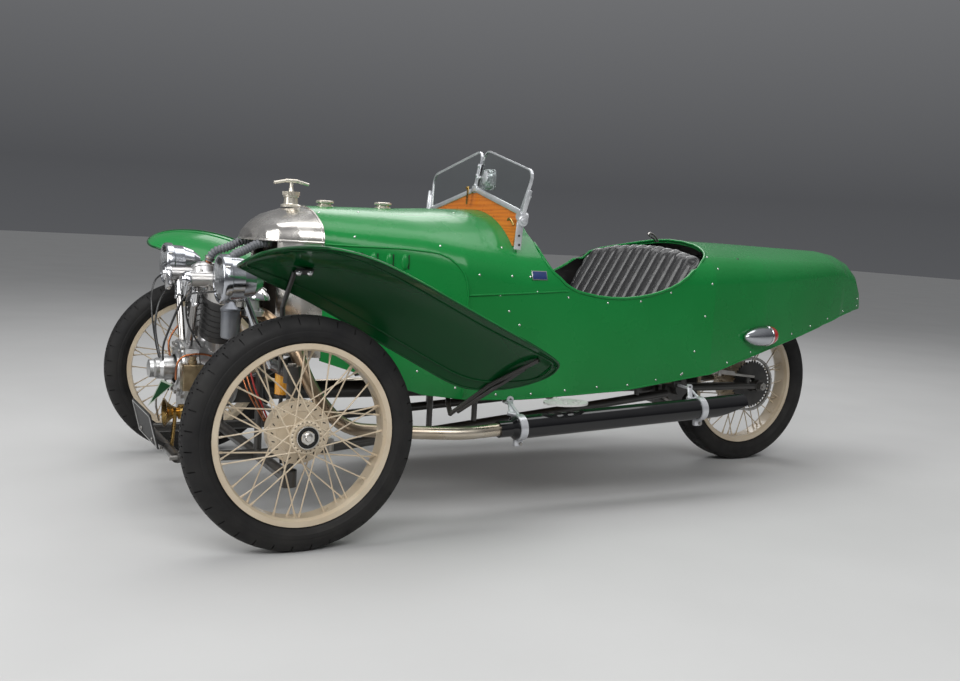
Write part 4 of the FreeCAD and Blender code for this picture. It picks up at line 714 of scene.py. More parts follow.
# %% Wing sheets, edge wires and flutes
SHARES = (0.0, 0.06, 0.14, 0.28, 0.42, 0.58, 0.72, 0.86, 0.94, 1.0)
for side, label in ((-1, "left"), (1, "right")):
    bm = bmesh.new()
    rows = []
    for station in WING:
        verts = []
        for share in SHARES:
            place = across_wing(station, share, 2.0)
            verts.append(bm.verts.new((place.x, place.y * side, place.z)))
        rows.append([bm.edges.new(pair) for pair in zip(verts, verts[1:])])
    for row, following in zip(rows, rows[1:]):
        bmesh.ops.bridge_loops(bm, edges=row + following)
    bmesh.ops.recalc_face_normals(bm, faces=bm.faces)
    sheet = piece(bm, "wing_" + label + "_sheet", "car_body", "green_paint", sharp=80)
    # The second material is painted shade: the underside is a darker green because it lies in shade.
    sheet.data.materials.append(FINISHES["dark_green"])
    smooth = sheet.modifiers.new("smooth", "SUBSURF")
    smooth.levels = smooth.render_levels = 2
    smooth.boundary_smooth = "PRESERVE_CORNERS"
    thick = sheet.modifiers.new("thick", "SOLIDIFY")
    thick.thickness = 0.003
    thick.offset = 0
    thick.material_offset = 1 if sheet.data.polygons[40].normal.z > 0 else 0
    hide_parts("wing_" + label)
    edge = wing_line(0.0) + wing_line(0.985)[::-1]
    upper = wing_line(0.13, 1.2)[1:-1] + wing_line(0.87, 1.2)[-2:0:-1]
    lower = wing_line(0.13, 4.6)[1:-1] + wing_line(0.87, 4.6)[-2:0:-1]
    # The flute under the sheet takes the darker green as painted shade; the edge wire is in the same darker
    # green.
    for name, run, radius, colour in (("edge", edge, 0.0042, "dark_green"),
                                      ("flute", upper, 0.0026, "green_paint"),
                                      ("lower_flute", lower, 0.0034, "dark_green")):
        run = [(p.x, p.y * side, p.z) for p in run]
        wire(f"wing_{label}_{name}", [run], radius, "car_body", colour, closed=True)
print("places across a wing:", len(SHARES))

# %% [markdown]
# ## Tyres
# A tyre is a profile spun round the axle.  To cut tread into it, only a thirty-sixth of a turn is spun first,
# in fine steps.  Small groups of its faces are pushed inwards as sipes and dashes, and that stretch is then
# repeated round the wheel.  The rings on the side wall are steps in the profile.

# %% Tyre sections: distance out from the middle of the tyre, radius, in millimetres
FRONT_TYRE = ((32.7, 246.3), (32.7, 257.5), (38, 260.5), (41.5, 266), (43.5, 274), (45.2, 276), (46, 284),
              (46, 288), (45.2, 289.5), (45.6, 294), (43.5, 302), (42.3, 305.5), (41.2, 307.5), (39.2, 311.5),
              (35.5, 316.5), (31, 321.5), (27, 325), (25.5, 325.8), (21, 327.6), (16, 329), (12.5, 329.6),
              (10.2, 329.8), (4.5, 330), (2.2, 330))
REAR_TYRE = ((32.7, 246.3), (32.7, 257.5), (40, 261), (48, 268), (53.5, 277), (55.2, 279.5), (56, 286),
             (56, 300), (55.2, 303), (55.8, 306), (54, 314), (52.6, 317.5), (51, 320.5), (49, 323), (45, 326),
             (39, 328.3), (34, 329.1), (31, 329.4), (25, 329.7), (18, 329.9), (14, 330), (11.6, 330),
             (5, 330), (2.4, 330))
STEPS, REPEATS, SIPE_DEPTH = 16, 36, 0.0060
PATTERN = (
    # rows of the section between two points, steps round the wheel
    ((12, 17), (3,)), ((12, 17), (11,)), ((18, 20), (7,)), ((18, 20), (15,)),
    ((20, 21), (1, 2, 3, 4)), ((20, 21), (9, 10, 11, 12)), ((22, 24), (5, 6)), ((22, 24), (13, 14)),
)

# %% Spin, press and repeat a tread
def tyre(name, node, body, section, centre):
    """A treaded tyre about an axle that runs across the car."""
    half = [(out / 1000, radius / 1000) for out, radius in section]
    profile = half + [(-out, radius) for out, radius in reversed(half)]
    bm = bmesh.new()
    cx, cy, cz = centre
    verts = [bm.verts.new((cx + radius, cy + out, cz)) for out, radius in profile]
    edges = [bm.edges.new(pair) for pair in zip(verts, verts[1:])]
    stretch = math.tau / REPEATS
    bmesh.ops.spin(bm, geom=verts + edges, cent=centre, axis=(0, 1, 0), angle=stretch, steps=STEPS)
    bmesh.ops.remove_doubles(bm, verts=bm.verts, dist=1e-6)
    bmesh.ops.recalc_face_normals(bm, faces=bm.faces)
    cell = {}
    for face in bm.faces:
        middle = face.calc_center_median()
        turn = math.atan2(-(middle.z - cz), middle.x - cx) % math.tau
        step = int(turn / stretch * STEPS)
        out = middle.y - cy
        radius = math.hypot(middle.x - cx, middle.z - cz)
        row = min(range(len(profile) - 1), key=lambda i: abs((profile[i][0] + profile[i + 1][0]) / 2 - out)
                  + abs((profile[i][1] + profile[i + 1][1]) / 2 - radius))
        cell[(row, step)] = face
    last = len(profile) - 2
    for (first, stop), steps in PATTERN:
        for flip in (False, True):
            chosen = []
            for row in range(first, stop):
                for step in steps:
                    key = (last - row, (step + STEPS // 4) % STEPS) if flip else (row, step)
                    if key in cell and cell[key].is_valid and 0 < key[1] < STEPS - 1:
                        chosen.append(cell[key])
            if not chosen:
                continue
            pushed = bmesh.ops.extrude_face_region(bm, geom=chosen)["geom"]
            bmesh.ops.delete(bm, geom=[face for face in chosen if face.is_valid], context="FACES_ONLY")
            for vert in [item for item in pushed if isinstance(item, bmesh.types.BMVert)]:
                inward = Vector((cx - vert.co.x, 0, cz - vert.co.z)).normalized()
                vert.co += inward * SIPE_DEPTH
    one = bm.verts[:] + bm.edges[:] + bm.faces[:]
    for number in range(1, REPEATS):
        again = bmesh.ops.duplicate(bm, geom=one)["geom"]
        moved = [item for item in again if isinstance(item, bmesh.types.BMVert)]
        bmesh.ops.rotate(bm, verts=moved, cent=centre, matrix=Matrix.Rotation(stretch * number, 3, "Y"))
    made = piece(bm, name, body, "tyre", sharp=32)
    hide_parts(node)
    return made

# %% Three treaded tyres
AXLES = {"front_left": (-1.245, -0.650, 0.330), "front_right": (-1.245, 0.650, 0.330),
         "rear": (0.915, 0.0, 0.330)}
for label, centre in AXLES.items():
    section = REAR_TYRE if label == "rear" else FRONT_TYRE
    made = tyre("tread_" + label, "tyre_" + label, "wheel_" + label, section, centre)
    print(made.name, len(made.data.polygons), "faces")

# %% [markdown]
# ## Wheels
# The spokes and rims are right already.  What brings them to life is small: a nipple where each spoke meets
# the rim, a bent head where it leaves the hub, the ring of screws on the hub face and the axle nut in its
# bright collar.

# %% How the spokes are laced
# Place along the axle, hub radius, spokes, degrees that a spoke turns on its way out, place at the rim
LACING = ((-0.043, 0.042, 20, 54, -0.007), (0.023, 0.085, 20, 30, 0.007))
RIM_BED = 0.237

# %% Spoke ends and a hub face
def wheel_details(label, centre, inward):
    """Spoke ends, then the outer hub face: collar, painted shade in its recess, nut, axle end and screws."""
    ends, face, nut, pits = bmesh.new(), bmesh.new(), bmesh.new(), bmesh.new()
    middle = Vector(centre)
    for number, (along, radius, count, wrap, at_rim) in enumerate(LACING):
        for i in range(count):
            pair, side = divmod(i, 2)
            foot = math.radians((pair + 0.5 * side) * 720 / count + 4.5 * number)
            head = foot + math.radians(wrap if side else -wrap)
            low = Vector((radius * math.cos(foot), along, radius * math.sin(foot)))
            high = Vector((RIM_BED * math.cos(head), at_rim, RIM_BED * math.sin(head)))
            way = (high - low).normalized()
            turn = Vector((inward, inward, 1))
            place = [middle + Vector(p * t for p, t in zip(spot, turn)) for spot in
                     (high - way * 0.019, high - way * 0.001, low, low - way * 0.003)]
            bar(ends, place[0], place[1], 0.0029, 0.0042, sides=8)
            hook = place[2] + Vector((0, -0.004 * inward, 0))
            bar(ends, place[3], hook, 0.0026, 0.0034, sides=6)
    out = Vector((0, -inward, 0))
    rim_face = middle + out * 0.058
    turned(nut, ((-0.012, 0.0325), (0.0012, 0.0330), (0.0032, 0.0318), (0.0032, 0.0300), (0.0008, 0.0290)),
           rim_face, out, steps=40)
    # The dark ring inside the collar is painted shade for the recess round the nut.
    turned(pits, ((0.0012, 0.0294), (0.0012, 0.0190)), rim_face, out, steps=40)
    turned(face, ((-0.0119, 0.0470), (-0.0105, 0.0466), (-0.0101, 0.0440), (-0.0110, 0.0330),
                  (-0.0110, 0.0310)), rim_face, out, steps=40)
    for i in range(20):
        bearing = math.tau * (i + 0.5) / 20
        spot = rim_face + out * -0.0104 + Vector((0.0405 * math.cos(bearing), 0, 0.0405 * math.sin(bearing)))
        turned(face, ((0, 0.0040), (0.0016, 0.0038), (0.0030, 0.0022), (0.0034, 0)), spot, out, steps=10)
        # A dark hole beside each screw is painted shade.
        aside = bearing + 0.16
        beside = rim_face + out * -0.0103 + Vector((0.0410 * math.cos(aside), 0, 0.0410 * math.sin(aside)))
        bar(pits, beside - out * 0.001, beside + out * 0.0006, 0.0018, sides=6)
    bar(nut, rim_face - out * 0.008, rim_face + out * 0.0024, 0.0200, sides=6)
    turned(nut, ((0.0022, 0.0140), (0.0046, 0.0135), (0.0062, 0.0100), (0.0074, 0.0094), (0.0100, 0.0078),
                 (0.0104, 0)), rim_face, out, steps=28)
    piece(ends, "spoke_ends_" + label, "wheel_" + label, "cream_paint", sharp=40)
    piece(face, "hub_face_" + label, "wheel_" + label, "cream_paint")
    piece(pits, "hub_holes_" + label, "wheel_" + label, "painted_hole_shade")
    piece(nut, "axle_nut_" + label, "wheel_" + label, "nickel")


for label, centre in AXLES.items():
    wheel_details(label, centre, -1 if label == "front_right" else 1)
print("spokes a wheel:", sum(count for _, _, count, _, _ in LACING))

# %% Drum faces: raised rings and a circle of slots, painted dark as the shade inside them
for label, centre in AXLES.items():
    inward = -1 if label == "front_right" else 1
    ring, slots = bmesh.new(), bmesh.new()
    out = Vector((0, -inward, 0))
    face = Vector(centre) - out * 0.020
    turned(ring, ((-0.001, 0.0895), (0.0016, 0.0885), (0.0016, 0.0870), (0.0004, 0.0860), (0.0004, 0.0640),
                  (0.0022, 0.0632), (0.0022, 0.0600), (0.0004, 0.0592), (0.0004, 0.0295)), face, out,
           steps=48)
    # Each slot is a dark block, painted shade for the opening.
    for i in range(20):
        bearing = math.tau * i / 20
        spot = face + out * 0.0010 + Vector((0.0765 * math.cos(bearing), 0, 0.0765 * math.sin(bearing)))
        slab(slots, (0.0085, 0.0020, 0.0026),
             at(*spot, Matrix.Rotation(-bearing + 0.6, 3, "Y").to_quaternion()),
             soft=0.0004)
    piece(ring, "drum_face_" + label, "wheel_" + label, "cream_paint")
    piece(slots, "drum_slots_" + label, "wheel_" + label, "painted_hole_shade")
print("wheels detailed:", len(AXLES))

# %% [markdown]
# ## Seats
# The seat is pleated leather over wadding.  A pad cut a little small is remeshed finely and let swell as
# cloth under pressure, so that its faces crown and its edges stay tight.  The stitched pleats come
# afterwards: points between two seams stay, and points near a seam sink into a narrow valley.  Piping runs
# round the cushion's edge.

# %% Cut, swell and pleat a pad
def pad_block(outline, thickness, stand, soft):
    """A padded slab from an outline in its own plane, with its edges rounded."""
    bm = bmesh.new()
    thickened(bm, bm.faces.new([bm.verts.new((x, y, 0)) for x, y in outline]), (0, 0, thickness))
    bmesh.ops.recalc_face_normals(bm, faces=bm.faces)
    bmesh.ops.bevel(bm, geom=bm.edges[:], offset=soft, segments=3, affect="EDGES", profile=0.5, material=-1)
    bmesh.ops.triangulate(bm, faces=bm.faces)
    bmesh.ops.transform(bm, verts=bm.verts, matrix=stand)
    return bm

# %% Swell a pad as cloth
def evaluated(holder):
    """The object's mesh with its modifiers applied."""
    return bpy.data.meshes.new_from_object(holder.evaluated_get(bpy.context.evaluated_depsgraph_get()))


def swollen(bm, voxel, cap, pressure=4.0):
    """Remesh the pad, let it swell as cloth, and keep every point within a cap of where it was."""
    mesh = bpy.data.meshes.new("pad")
    bm.to_mesh(mesh)
    bm.free()
    holder = bpy.data.objects.new("pad", mesh)
    scene.collection.objects.link(holder)
    fine = holder.modifiers.new("fine", "REMESH")
    fine.mode = "VOXEL"
    fine.voxel_size = voxel
    mesh = evaluated(holder)
    holder.modifiers.clear()
    holder.data = mesh
    rest = [vert.co.copy() for vert in mesh.vertices]
    cloth = holder.modifiers.new("swell", "CLOTH")
    cloth.settings.quality = 5
    cloth.settings.mass = 0.3
    cloth.settings.use_pressure = True
    cloth.settings.uniform_pressure_force = pressure
    cloth.settings.effector_weights.gravity = 0
    for number in range(1, 21):
        scene.frame_set(number)
    moved = evaluated(holder)
    for vert, old, new in zip(mesh.vertices, rest, moved.vertices):
        step = new.co - old
        vert.co = old + step * min(1.0, cap / max(step.length, 1e-9))
    scene.frame_set(1)
    holder.modifiers.clear()
    smooth = holder.modifiers.new("smooth", "SUBSURF")
    smooth.levels = smooth.render_levels = 1
    mesh = evaluated(holder)
    bpy.data.objects.remove(holder)
    return mesh

# %% Sink the pleats
def pleated(mesh, stand, pitch, depth, length, plain_end):
    """Sink the front face into valleys a pitch apart; the pleats run along the pad's own y."""
    back = stand.inverted()
    facing = stand.to_3x3() @ Vector((0, 0, 1))
    normals = [Vector(item.vector) for item in mesh.vertex_normals]
    for vert, normal in zip(mesh.vertices, normals):
        own = back @ vert.co
        share = max(0.0, normal.dot(facing))
        fade = min(1.0, max(0.0, (length - plain_end - own.y) / 0.02)) * min(1.0, max(0.0, own.y / 0.03))
        crown = math.sqrt(abs(math.sin(math.pi * own.x / pitch)))
        vert.co -= facing * depth * (1 - crown) * share * fade
    return mesh

# %% Seat back
PAD_GRAIN = 0.0075
BACK_FOOT, BACK_LEAN, BACK_THICK = Vector((0.1153, 0, 0.493)), math.radians(30), 0.085
BACK = [(0.386, 0.010), (0.386, 0.330), (0.380, 0.405), (0.342, 0.452), (0.205, 0.479), (0.060, 0.491)]
rise_way = Vector((math.sin(BACK_LEAN), 0, math.cos(BACK_LEAN)))
front_way = Vector((-math.cos(BACK_LEAN), 0, math.sin(BACK_LEAN)))
across = rise_way.cross(front_way)
back_stand = Matrix((across, rise_way, front_way)).transposed().to_4x4()
back_stand = Matrix.Translation(BACK_FOOT - front_way * (BACK_THICK - 0.012)) @ back_stand
outline = BACK + [(-x, y) for x, y in reversed(BACK)]
mesh = swollen(pad_block(outline, BACK_THICK - 0.030, back_stand, 0.014), PAD_GRAIN, 0.015)
mesh = pleated(mesh, back_stand, 0.056, 0.024, 0.502, 0.002)
seat_back = mesh_piece(mesh, "seat_back_pad", "car_body", "black_leather", sharp=180)
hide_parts("seat_back")
print("seat back:", len(mesh.polygons), "faces")

# %% Seat cushion
CUSHION_LOW = Vector((-0.345, 0, 0.4153))
cushion_stand = Matrix.Translation(CUSHION_LOW + Vector((0.012, 0, 0.006))) @ Matrix(
    ((0, 1, 0, 0), (-1, 0, 0, 0), (0, 0, 1, 0), (0, 0, 0, 1)))
CUSHION_HALF, CUSHION_LONG = 0.366, 0.437
half = [(CUSHION_HALF, 0), (CUSHION_HALF, CUSHION_LONG)]
outline = half + [(-x, y) for x, y in reversed(half)]
mesh = swollen(pad_block(outline, 0.108, cushion_stand, 0.022), PAD_GRAIN, 0.012)
mesh = pleated(mesh, cushion_stand, 0.0523, 0.014, CUSHION_LONG, 0.03)
cushion = mesh_piece(mesh, "seat_cushion_pad", "car_body", "black_leather", sharp=180)
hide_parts("seat_cushion")
print("cushion:", len(mesh.polygons), "faces")

# %% Piping along the cushion's top edge
edge = [(-0.340, y / 1000, 0.512) for y in (-366, -200, 0, 200, 366)]
wire("cushion_piping", [[(0.08, -0.374, 0.512)] + edge + [(0.08, 0.374, 0.512)]], 0.0045, "car_body",
     "black_leather", straight=True)
print("piping points:", len(edge) + 2)

# %% [markdown]
# ## Cockpit
# Round instruments are the same few turned rings: a bright bezel, a dark dial a little below it, pale marks
# and a needle.  They face the driver from the wooden fascia.

# %% Instruments
bezels, dials, marks = bmesh.new(), bmesh.new(), bmesh.new()
FASCIA_X = -0.352
GAUGES = ((0.175, 0.885, 0.052), (-0.030, 0.893, 0.040), (-0.150, 0.885, 0.030), (0.290, 0.862, 0.026))
for y, z, size in GAUGES:
    face = Vector((FASCIA_X, y, z))
    turned(bezels, ((0, size + 0.004), (0.006, size + 0.004), (0.009, size + 0.001), (0.009, size - 0.002),
                    (0.004, size - 0.003)), face, (1, 0, 0), steps=36)
    bar(dials, face, face + Vector((0.004, 0, 0)), size - 0.002, sides=32)
    for number in range(13):
        bearing = math.radians(225 - number * 22.5)
        spot = face + Vector((0.0045, math.cos(bearing) * size * 0.80, math.sin(bearing) * size * 0.80))
        slab(marks, (0.0006, size * 0.16, 0.0012),
             at(*spot) @ Matrix.Rotation(bearing, 4, "X"), soft=0.0001)
    needle = math.radians(200)
    spot = face + Vector((0.0055, math.cos(needle) * size * 0.3, math.sin(needle) * size * 0.3))
    slab(marks, (0.0006, size * 0.72, 0.0016), at(*spot) @ Matrix.Rotation(needle, 4, "X"), soft=0.0001)
piece(bezels, "gauge_bezels", "car_body", "brass")
piece(dials, "gauge_dials", "car_body", "dial_face")
piece(marks, "gauge_marks", "car_body", "pale_line")
print("gauges:", len(GAUGES))

# %% Switches and knobs on the fascia
knobs = bmesh.new()
KNOB_PLACES = ((0.060, 0.850), (0.095, 0.850), (-0.215, 0.850), (-0.250, 0.870), (0.060, 0.925))
for y, z in KNOB_PLACES:
    turned(knobs, ((0, 0.011), (0.003, 0.011), (0.004, 0.005), (0.014, 0.0045), (0.016, 0.008),
                   (0.022, 0.0085), (0.025, 0.006), (0.0255, 0)), (FASCIA_X, y, z), (1, 0, 0), steps=18)
piece(knobs, "fascia_knobs", "car_body", "brass")
print("fascia knobs:", len(KNOB_PLACES))

# %% [markdown]
# ## Engine
# The twin stands ahead of the radiator with everything on show: chrome rocker towers over two pairs of
# pushrod tubes, studs round the heads, a bright intake bell, copper oil pipes and black plug leads.  Each is
# turned, cut from plate, or bent from wire, and sits on the CAD castings.

# %% Places on the leaning cylinders
ENGINE_X, CRANK_Z = -1.335, 0.400


def up_cylinder(side, reach, x=ENGINE_X, aside=0.0):
    """A place on a cylinder's own axis, and the way that axis leans."""
    way = Vector((0, side * math.sin(VEE), math.cos(VEE)))
    out = Vector((0, side * math.cos(VEE), -math.sin(VEE)))
    return Vector((x, 0, CRANK_Z)) + way * reach + out * aside, way


print("each cylinder leans", round(math.degrees(VEE)), "degrees")

# %% Barrels: cooling ribs, head flanges, studs and nuts
ribs, studs, covers = bmesh.new(), bmesh.new(), bmesh.new()
RIBS, HEAD_STUDS = 6, 8
for side in (-1, 1):
    for number in range(RIBS):
        spot, way = up_cylinder(side, 0.168 + number * 0.019)
        turned(ribs, ((-0.0022, 0.0598), (-0.0012, 0.0640), (0.0012, 0.0640), (0.0022, 0.0598)), spot, way,
               steps=40)
    spot, way = up_cylinder(side, 0.290)
    turned(ribs, ((-0.004, 0.0598), (-0.004, 0.0700), (0.004, 0.0700), (0.006, 0.0670)), spot, way, steps=40)
    for number in range(HEAD_STUDS):
        bearing = math.tau * (number + 0.5) / HEAD_STUDS
        stand = Vector((0, 0, 1)).rotation_difference(way).to_matrix()
        foot, _ = up_cylinder(side, 0.330)
        foot = foot + stand @ Vector((0.0585 * math.cos(bearing), 0.0585 * math.sin(bearing), 0))
        bar(studs, foot - way * 0.001, foot + way * 0.0065, 0.0068, sides=6)
        bar(studs, foot, foot + way * 0.012, 0.0034, sides=10)
    # Rocker box lid with a beaded edge and a dome nut
    lid, _ = up_cylinder(side, 0.370)
    turned(covers, ((-0.010, 0.0442), (-0.008, 0.0468), (-0.004, 0.0468), (-0.002, 0.0440), (0.006, 0.0400),
                    (0.012, 0.0300), (0.015, 0.0160), (0.016, 0.0070), (0.022, 0.0065), (0.024, 0)), lid, way,
           steps=36)
piece(ribs, "cylinder_ribs", "car_body", "iron")
piece(studs, "head_studs", "car_body", "steel")
piece(covers, "rocker_lids", "car_body", "alloy")
print("ribs and studs a cylinder:", RIBS, HEAD_STUDS)

# %% Rocker towers: an upright chrome plate with a round top, its boss, and the spring below it
towers, bosses = bmesh.new(), bmesh.new()
TOWER_HALF, TOWER_LOW, TOWER_HIGH = 0.030, 0.296, 0.372
TOWER_X, TOWER_THICK = -1.462, 0.016
TUBE_X, TUBE_APART, SPRING_RADIUS = -1.423, 0.013, 0.0095
for side in (-1, 1):
    outline = []
    for step in range(13):
        bearing = math.pi * step / 12
        outline.append((TOWER_HALF * math.cos(bearing),
                        TOWER_HIGH - TOWER_HALF + TOWER_HALF * math.sin(bearing)))
    outline += [(-TOWER_HALF * 0.72, TOWER_LOW), (TOWER_HALF * 0.72, TOWER_LOW)]
    verts = [towers.verts.new(up_cylinder(side, reach, TOWER_X, aside)[0]) for aside, reach in outline]
    thickened(towers, towers.faces.new(verts), (TOWER_THICK, 0, 0))
    middle, way = up_cylinder(side, 0.346, TOWER_X)
    turned(bosses, ((0.002, 0.0225), (-0.003, 0.0225), (-0.006, 0.0200), (-0.007, 0.0120), (-0.010, 0.0110),
                    (-0.011, 0.0060), (-0.011, 0)), middle, (1, 0, 0), steps=28)
    for shift in (-TUBE_APART, TUBE_APART):
        foot, _ = up_cylinder(side, 0.262, TUBE_X, shift * 0.93)
        turned(bosses, ((0, 0.0105), (0.005, 0.0125), (0.012, 0.0125), (0.014, 0.0105), (0.050, 0.0098),
                        (0.054, 0.0060)), foot, way, steps=20)
        arm, _ = up_cylinder(side, 0.322, TUBE_X, shift * 0.93)
        bar(bosses, arm, arm + Vector((0.055, 0, 0.004)), 0.0062, 0.0048, sides=10)
        start, _ = up_cylinder(side, 0.2985, -1.375, shift)
        turns = [tuple(start + way * (t * 0.0011) + Vector((math.cos(t * 0.9), 0, 0)) * SPRING_RADIUS
                       + Vector((0, math.cos(VEE), -math.sin(VEE) * side)) * SPRING_RADIUS
                       * math.sin(t * 0.9))
                 for t in range(30)]
        if shift > 0:
            wire(f"valve_spring_{'left' if side < 0 else 'right'}", [turns], 0.0016, "car_body", "steel",
                 straight=True)
bmesh.ops.recalc_face_normals(towers, faces=towers.faces)
bmesh.ops.bevel(towers, geom=towers.edges[:], offset=0.003, segments=2, affect="EDGES", profile=0.5,
                material=-1)
piece(towers, "rocker_towers", "car_body", "chrome")
piece(bosses, "rocker_bosses", "car_body", "chrome")
print("tower height:", round(TOWER_HIGH - TOWER_LOW, 3))

# %% Intake bell
bell = bmesh.new()
turned(bell, ((0.052, 0.0250), (0.044, 0.0300), (0.030, 0.0440), (0.014, 0.0560), (0.002, 0.0605),
              (-0.004, 0.0600), (-0.004, 0.0570), (0.006, 0.0530), (0.020, 0.0410), (0.036, 0.0260),
              (0.044, 0.0190)), (-1.273, -0.200, 0.662), (0, 0.10, 1), steps=40)
piece(bell, "intake_bell", "car_body", "chrome")
print("intake bell made")

# %% Oil pot and intake flange beside the left barrel
pot, flange = bmesh.new(), bmesh.new()
FLANGE_AT = (-1.272, -0.230, 0.622)
turned(pot, ((-0.050, 0), (-0.050, 0.0200), (-0.047, 0.0265), (-0.040, 0.0290), (0.034, 0.0290),
             (0.037, 0.0315), (0.043, 0.0315), (0.046, 0.0280), (0.052, 0.0200), (0.060, 0.0120),
             (0.064, 0.0060), (0.064, 0)), (-1.341, -0.230, 0.592), (0, 0, 1), steps=36)
turned(flange, ((-0.008, 0.0360), (0.008, 0.0360), (0.010, 0.0330), (0.010, 0.0190), (0.040, 0.0180)),
       FLANGE_AT, (0, 0, 1), steps=28)
bar(flange, (-1.272, -0.230, 0.560), FLANGE_AT, 0.012)
for bearing in (0.6, 2.2, 3.8, 5.4):
    spot = Vector((-1.272 + 0.028 * math.cos(bearing), -0.230 + 0.028 * math.sin(bearing), 0.632))
    bar(flange, spot - Vector((0, 0, 0.004)), spot + Vector((0, 0, 0.006)), 0.0052, sides=6)
bar(pot, (-1.341, -0.230, 0.555), (-1.300, -0.130, 0.500), 0.010)
bar(pot, (-1.341, -0.215, 0.612), (-1.335, -0.150, 0.640), 0.011)
piece(pot, "oil_pot", "car_body", "dull_alloy")
piece(flange, "intake_flange", "car_body", "alloy")
print("pot and flange made")

# %% The bell's wire cage
cage = [[(-1.325, -0.200, 0.668), (-1.300, -0.205, 0.700), (-1.262, -0.200, 0.715), (-1.222, -0.195, 0.690)],
        [(-1.310, -0.235, 0.664), (-1.285, -0.225, 0.700), (-1.255, -0.200, 0.716)],
        [(-1.240, -0.235, 0.664), (-1.250, -0.220, 0.700), (-1.262, -0.200, 0.716)]]
wire("intake_cage", cage, 0.0024, "car_body", "chrome")
print("cage wires:", len(cage))

# %% Crankcase face: a ribbed cover, its screws, and the bright drum of the timing gear
cover, screws = bmesh.new(), bmesh.new()
turned(cover, ((0.000, 0.0880), (-0.005, 0.0870), (-0.008, 0.0820), (-0.008, 0.0560), (-0.013, 0.0520),
               (-0.014, 0.0470)), (-1.443, 0, 0.418), (1, 0, 0), steps=44)
turned(cover, ((0.010, 0.0400), (-0.030, 0.0390), (-0.036, 0.0350), (-0.060, 0.0340), (-0.066, 0.0300),
               (-0.084, 0.0290), (-0.086, 0.0240), (-0.086, 0)), (-1.441, 0.060, 0.411), (1, 0, 0), steps=32)
for number in range(10):
    bearing = math.tau * (number + 0.5) / 10
    spot = Vector((-1.450, 0.076 * math.cos(bearing), 0.418 + 0.076 * math.sin(bearing)))
    bar(screws, spot, spot - Vector((0.006, 0, 0)), 0.0058, sides=6)
for y, z in ((-0.075, 0.340), (0.075, 0.340), (-0.098, 0.440), (0.098, 0.440), (-0.070, 0.492),
             (0.070, 0.492)):
    bar(screws, (-1.443, y, z), (-1.451, y, z), 0.0062, sides=6)
piece(cover, "timing_cover", "car_body", "alloy")
piece(screws, "timing_screws", "car_body", "steel")
print("timing cover and screws made")

# %% The oil pump's bronze box and the amber bottle
pump, amber, caps = bmesh.new(), bmesh.new(), bmesh.new()
BOTTLE_FOOT = (-1.206, -0.350, 0.387)
slab(pump, (0.066, 0.050, 0.082), at(-1.428, -0.128, 0.410), soft=0.004)
turned(pump, ((0, 0.014), (0.012, 0.014), (0.014, 0.011), (0.024, 0.011), (0.026, 0)),
       (-1.428, -0.128, 0.450), (0, 0, 1), steps=24)
turned(amber, ((0, 0), (0, 0.022), (0.003, 0.0255), (0.070, 0.0255), (0.072, 0)), BOTTLE_FOOT, (0, 0, 1),
       steps=32)
turned(caps, ((0.070, 0.0265), (0.070, 0.0275), (0.084, 0.0275), (0.087, 0.0240), (0.092, 0.0120),
              (0.108, 0.0110), (0.110, 0)), BOTTLE_FOOT, (0, 0, 1), steps=28)
turned(caps, ((-0.006, 0), (-0.006, 0.0275), (0.001, 0.0275), (0.001, 0.0230)), BOTTLE_FOOT, (0, 0, 1),
       steps=28)
bar(caps, (-1.210, -0.350, 0.384), (-1.210, -0.330, 0.330), 0.006)
bar(caps, (-1.210, -0.350, 0.345), (-1.210, -0.372, 0.180), 0.006)
piece(pump, "oil_pump_box", "car_body", "old_bronze")
piece(amber, "sight_bottle", "car_body", "amber")
piece(caps, "bottle_caps", "car_body", "black_plastic")
print("bottle foot:", BOTTLE_FOOT)

# %% Copper oil pipes and coloured wires
OIL_PIPES = [
    [(-1.474, -0.110, 0.399), (-1.476, -0.110, 0.440), (-1.460, -0.110, 0.470), (-1.433, -0.110, 0.478),
     (-1.386, -0.110, 0.480), (-1.360, -0.105, 0.470)],
    [(-1.398, -0.128, 0.380), (-1.360, -0.170, 0.360), (-1.300, -0.185, 0.400), (-1.270, -0.180, 0.480)],
    [(-1.430, 0.110, 0.400), (-1.455, 0.130, 0.460), (-1.440, 0.140, 0.520), (-1.400, 0.140, 0.560)],
]
wire("oil_pipes", OIL_PIPES, 0.0034, "car_body", "copper")
COLOURED = [[(-1.30 + 0.012 * n, -0.205 - 0.010 * n, 0.455), (-1.295 + 0.012 * n, -0.240 - 0.008 * n, 0.400),
             (-1.265 + 0.010 * n, -0.262 - 0.006 * n, 0.340), (-1.235 + 0.008 * n, -0.265, 0.290 - 0.004 * n)]
            for n in range(3)]
wire("engine_wires_copper", COLOURED[:2], 0.0030, "car_body", "copper")
wire("engine_wires_red", COLOURED[2:], 0.0030, "car_body", "red_wire")
print("oil pipes and wires:", len(OIL_PIPES), len(COLOURED))

